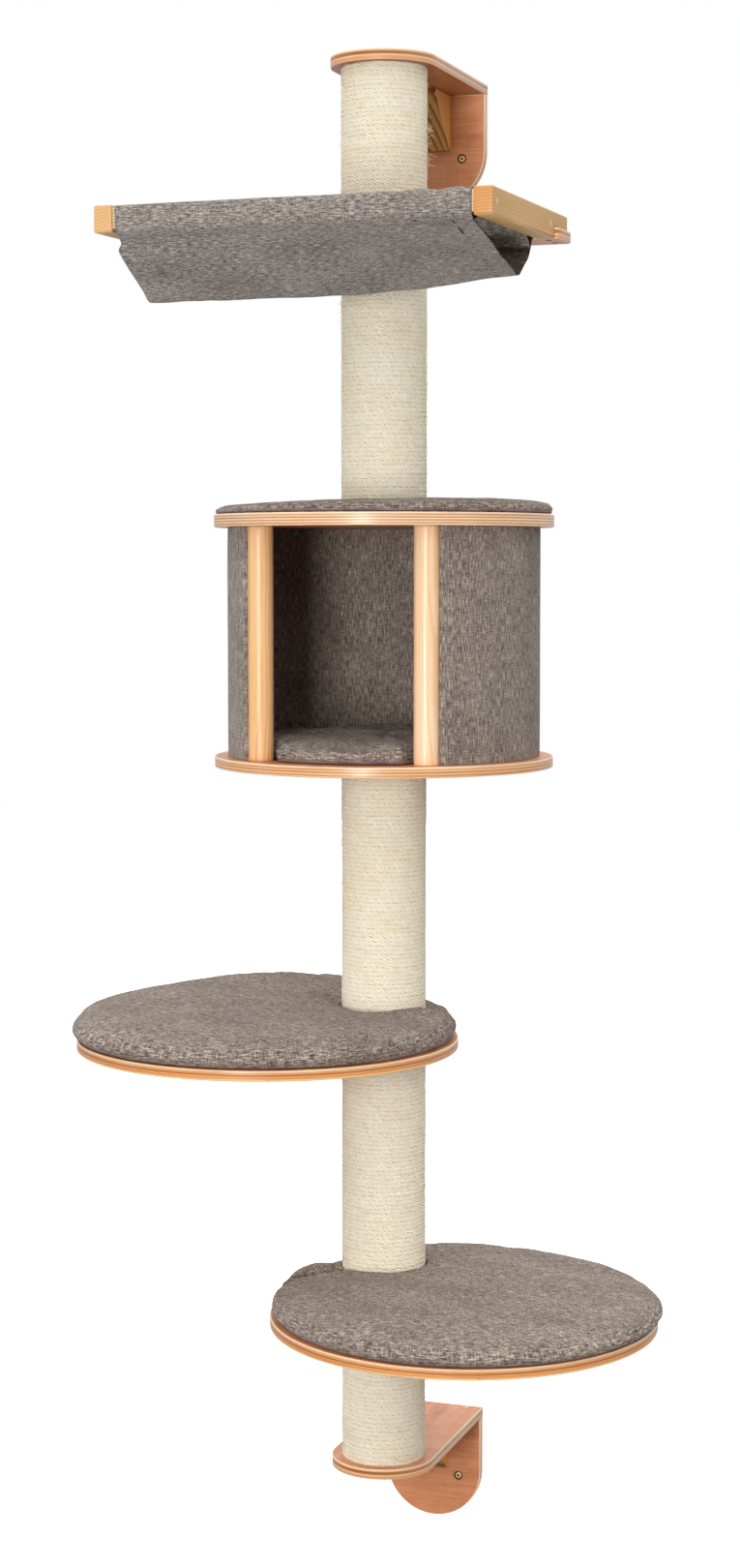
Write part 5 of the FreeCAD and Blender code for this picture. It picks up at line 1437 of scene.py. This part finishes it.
# ---------------------------------------------------------------- wall screws in their recesses
for which, zc in (("lower", 0.0), ("upper", 1.990)):
    V, F, fl, fm = [], [], [], []
    for sx in (-1, 1):
        base = len(V)
        n = 36
        prof = [(0.0030, -0.0020), (0.0030, -0.0119), (0.0044, -0.0119), (0.0047, -0.0123), (0.0047, -0.0132), (0.0043, -0.0139), (0.0034, -0.0144), (0.0023, -0.0146), (0.0021, -0.0145), (0.0019, -0.0125)]
        for r, y in prof:
            m = n
            for q in range(m):
                a = 2 * PI * q / m
                rr = r
                if r <= 0.0023:           # the drive is a hexagon
                    rr = r / max(abs(math.cos((a % (PI / 3)) - PI / 6)), 0.5) * 0.92
                V.append((sx * 0.040 + rr * math.cos(a), y, zc + rr * math.sin(a)))
        for k in range(len(prof) - 1):
            for q in range(n):
                w = (q + 1) % n
                F.append((base + k * n + q, base + (k + 1) * n + q, base + (k + 1) * n + w, base + k * n + w))
                fl.append(False)
                # the drive's walls and floor take the painted-shade metal
                fm.append(1 if k >= len(prof) - 2 else 0)
        F.append([base + q for q in range(n)])
        F.append([base + (len(prof) - 1) * n + q for q in range(n)][::-1])
        fl += [True, True]
        fm += [0, 1]
    o = add_mesh(f"{which}_wall_screw_heads", V, F, [M_BRASSY, M_DRIVE_PAINTED_SHADE], fm, None, fl, "column", ())
    fix_normals(o)

# ---------------------------------------------------------------- finishes of the pieces that stay as built
for nm in NODES:
    me = NODES[nm].data
    if nm in ("bracket_screws", "rail_screws", "batten_screws", "cave_dowel_screws"):
        mt = M_BRASSY
    elif nm in ("bracket_bolts", "cave_bolts", "bolt_washers", "insert_nuts", "joining_studs"):
        mt = M_ZINC
    elif nm.startswith("post_core"):
        mt = M_PAPER
    elif nm.startswith("post_plugs"):
        mt = M_PLUG
    elif nm.startswith("hammock_rail"):
        mt = M_RAIL
    elif nm.startswith("sisal"):
        mt = M_FIBRE
    elif nm.startswith("cave_dowel"):
        mt = M_PLUG
    elif nm in ("hammock_batten_left", "hammock_batten_right"):
        mt = M_BATTEN
    elif nm.endswith("gusset"):
        mt = M_GUSSET
    elif "cushion" in nm or nm in ("hammock_fabric", "cave_wall_cover"):
        mt = M_BIND
    else:
        mt = M_PLUG
    me.materials.clear()
    me.materials.append(mt)
for nm in ("bracket_bolts", "bolt_washers", "cave_bolts"):
    w = NODES[nm].modifiers.new("weld", "WELD")
    w.merge_threshold = 0.00001
    bv = NODES[nm].modifiers.new("bevel", "BEVEL")
    bv.width = 0.0004
    bv.segments = 2
    bv.limit_method = "ANGLE"
    bv.angle_limit = math.radians(35)

# ---------------------------------------------------------------- floor, light, camera
def plain(name, col, rough=0.9):
    g = Graph(name)
    t = g.noise(g.map(g.obj(), (3, 3, 3)), 1.0, 2.0, 0.5)
    return g.done(g.mix(g.m("MULTIPLY", t, 0.02), col, (0.9, 0.9, 0.9, 1)), rough, spec=0.1)


me = bpy.data.meshes.new("floor")
s = 14.0
me.from_pydata([(-s, -s, -0.42), (s, -s, -0.42), (s, s, -0.42), (-s, s, -0.42)], [], [(0, 1, 2, 3)])
pale = plain("pale_floor", (0.96, 0.96, 0.96, 1))
pb = pale.node_tree.nodes["Principled BSDF"].inputs
pb["Emission Color"].default_value = (1.0, 1.0, 1.0, 1)
pb["Emission Strength"].default_value = 0.75
me.materials.append(pale)
floor = bpy.data.objects.new("floor", me)
SCENE.collection.objects.link(floor)
floor.visible_diffuse = False
floor.visible_glossy = False
floor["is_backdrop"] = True

world = bpy.data.worlds.new("studio")
SCENE.world = world
world.use_nodes = True
wn = world.node_tree
bg = wn.nodes["Background"]
bg.inputs[0].default_value = (1.0, 1.0, 1.0, 1)
# a white room: brightest overhead, then the wall behind and the floor, dim on the camera's side
sep = wn.nodes.new("ShaderNodeSeparateXYZ")
wn.links.new(wn.nodes.new("ShaderNodeTexCoord").outputs["Generated"], sep.inputs[0])


def share(axis, sign, gain, prev):
    a = wn.nodes.new("ShaderNodeMath")
    a.operation = "MULTIPLY"
    a.inputs[1].default_value = sign
    wn.links.new(sep.outputs[axis], a.inputs[0])
    b = wn.nodes.new("ShaderNodeMath")
    b.operation = "MAXIMUM"
    b.inputs[1].default_value = 0.0
    wn.links.new(a.outputs[0], b.inputs[0])
    c = wn.nodes.new("ShaderNodeMath")
    c.operation = "MULTIPLY_ADD"
    c.inputs[1].default_value = gain
    wn.links.new(b.outputs[0], c.inputs[0])
    if prev is None:
        c.inputs[2].default_value = 0.12
    else:
        wn.links.new(prev, c.inputs[2])
    return c.outputs[0]


wn.links.new(share(1, 1.0, 0.55, share(2, -1.0, 0.40, share(2, 1.0, 1.62, None))), bg.inputs[1])
back = wn.nodes.new("ShaderNodeBackground")
back.inputs[0].default_value = (1.0, 1.0, 1.0, 1)
back.inputs[1].default_value = 1.0
lp = wn.nodes.new("ShaderNodeLightPath")
mx = wn.nodes.new("ShaderNodeMixShader")
wn.links.new(lp.outputs["Is Camera Ray"], mx.inputs[0])
wn.links.new(bg.outputs[0], mx.inputs[1])
wn.links.new(back.outputs[0], mx.inputs[2])
wn.links.new(mx.outputs[0], wn.nodes["World Output"].inputs[0])


def soft(name, loc, target, size, power, color=(1, 1, 1)):
    L = bpy.data.lights.new(name, "AREA")
    L.shape = "RECTANGLE"
    L.size, L.size_y = size
    L.energy = power
    L.color = color
    ob = bpy.data.objects.new(name, L)
    ob.location = loc
    ob.rotation_euler = (Vector(target) - Vector(loc)).to_track_quat("-Z", "Y").to_euler()
    SCENE.collection.objects.link(ob)
    ob.visible_camera = False
    return ob


soft("key", (0.33, -4.42, 1.15), (0, -0.3, 1.15), (0.80, 1.5), 119)
soft("side", (-3.2, -1.7, 1.4), (0, -0.3, 1.1), (1.0, 2.6), 13)
soft("fill", (3.2, -1.5, 1.3), (0, -0.3, 1.1), (1.0, 2.6), 12)

cam = bpy.data.cameras.new("camera")
cam.lens = 61.18
cam.sensor_width = 36.0
cam.sensor_fit = "AUTO"
cam.clip_start, cam.clip_end = 0.05, 60
co = bpy.data.objects.new("camera", cam)
co.location = (1.2331, -3.8252, 1.394)
co.rotation_euler = (math.radians(85.29), 0.0, math.radians(19.33))
SCENE.collection.objects.link(co)
SCENE.camera = co
SCENE.view_settings.view_transform = "Standard"
SCENE.view_settings.look = "None"
SCENE.view_settings.exposure = 0.0

lo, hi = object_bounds()
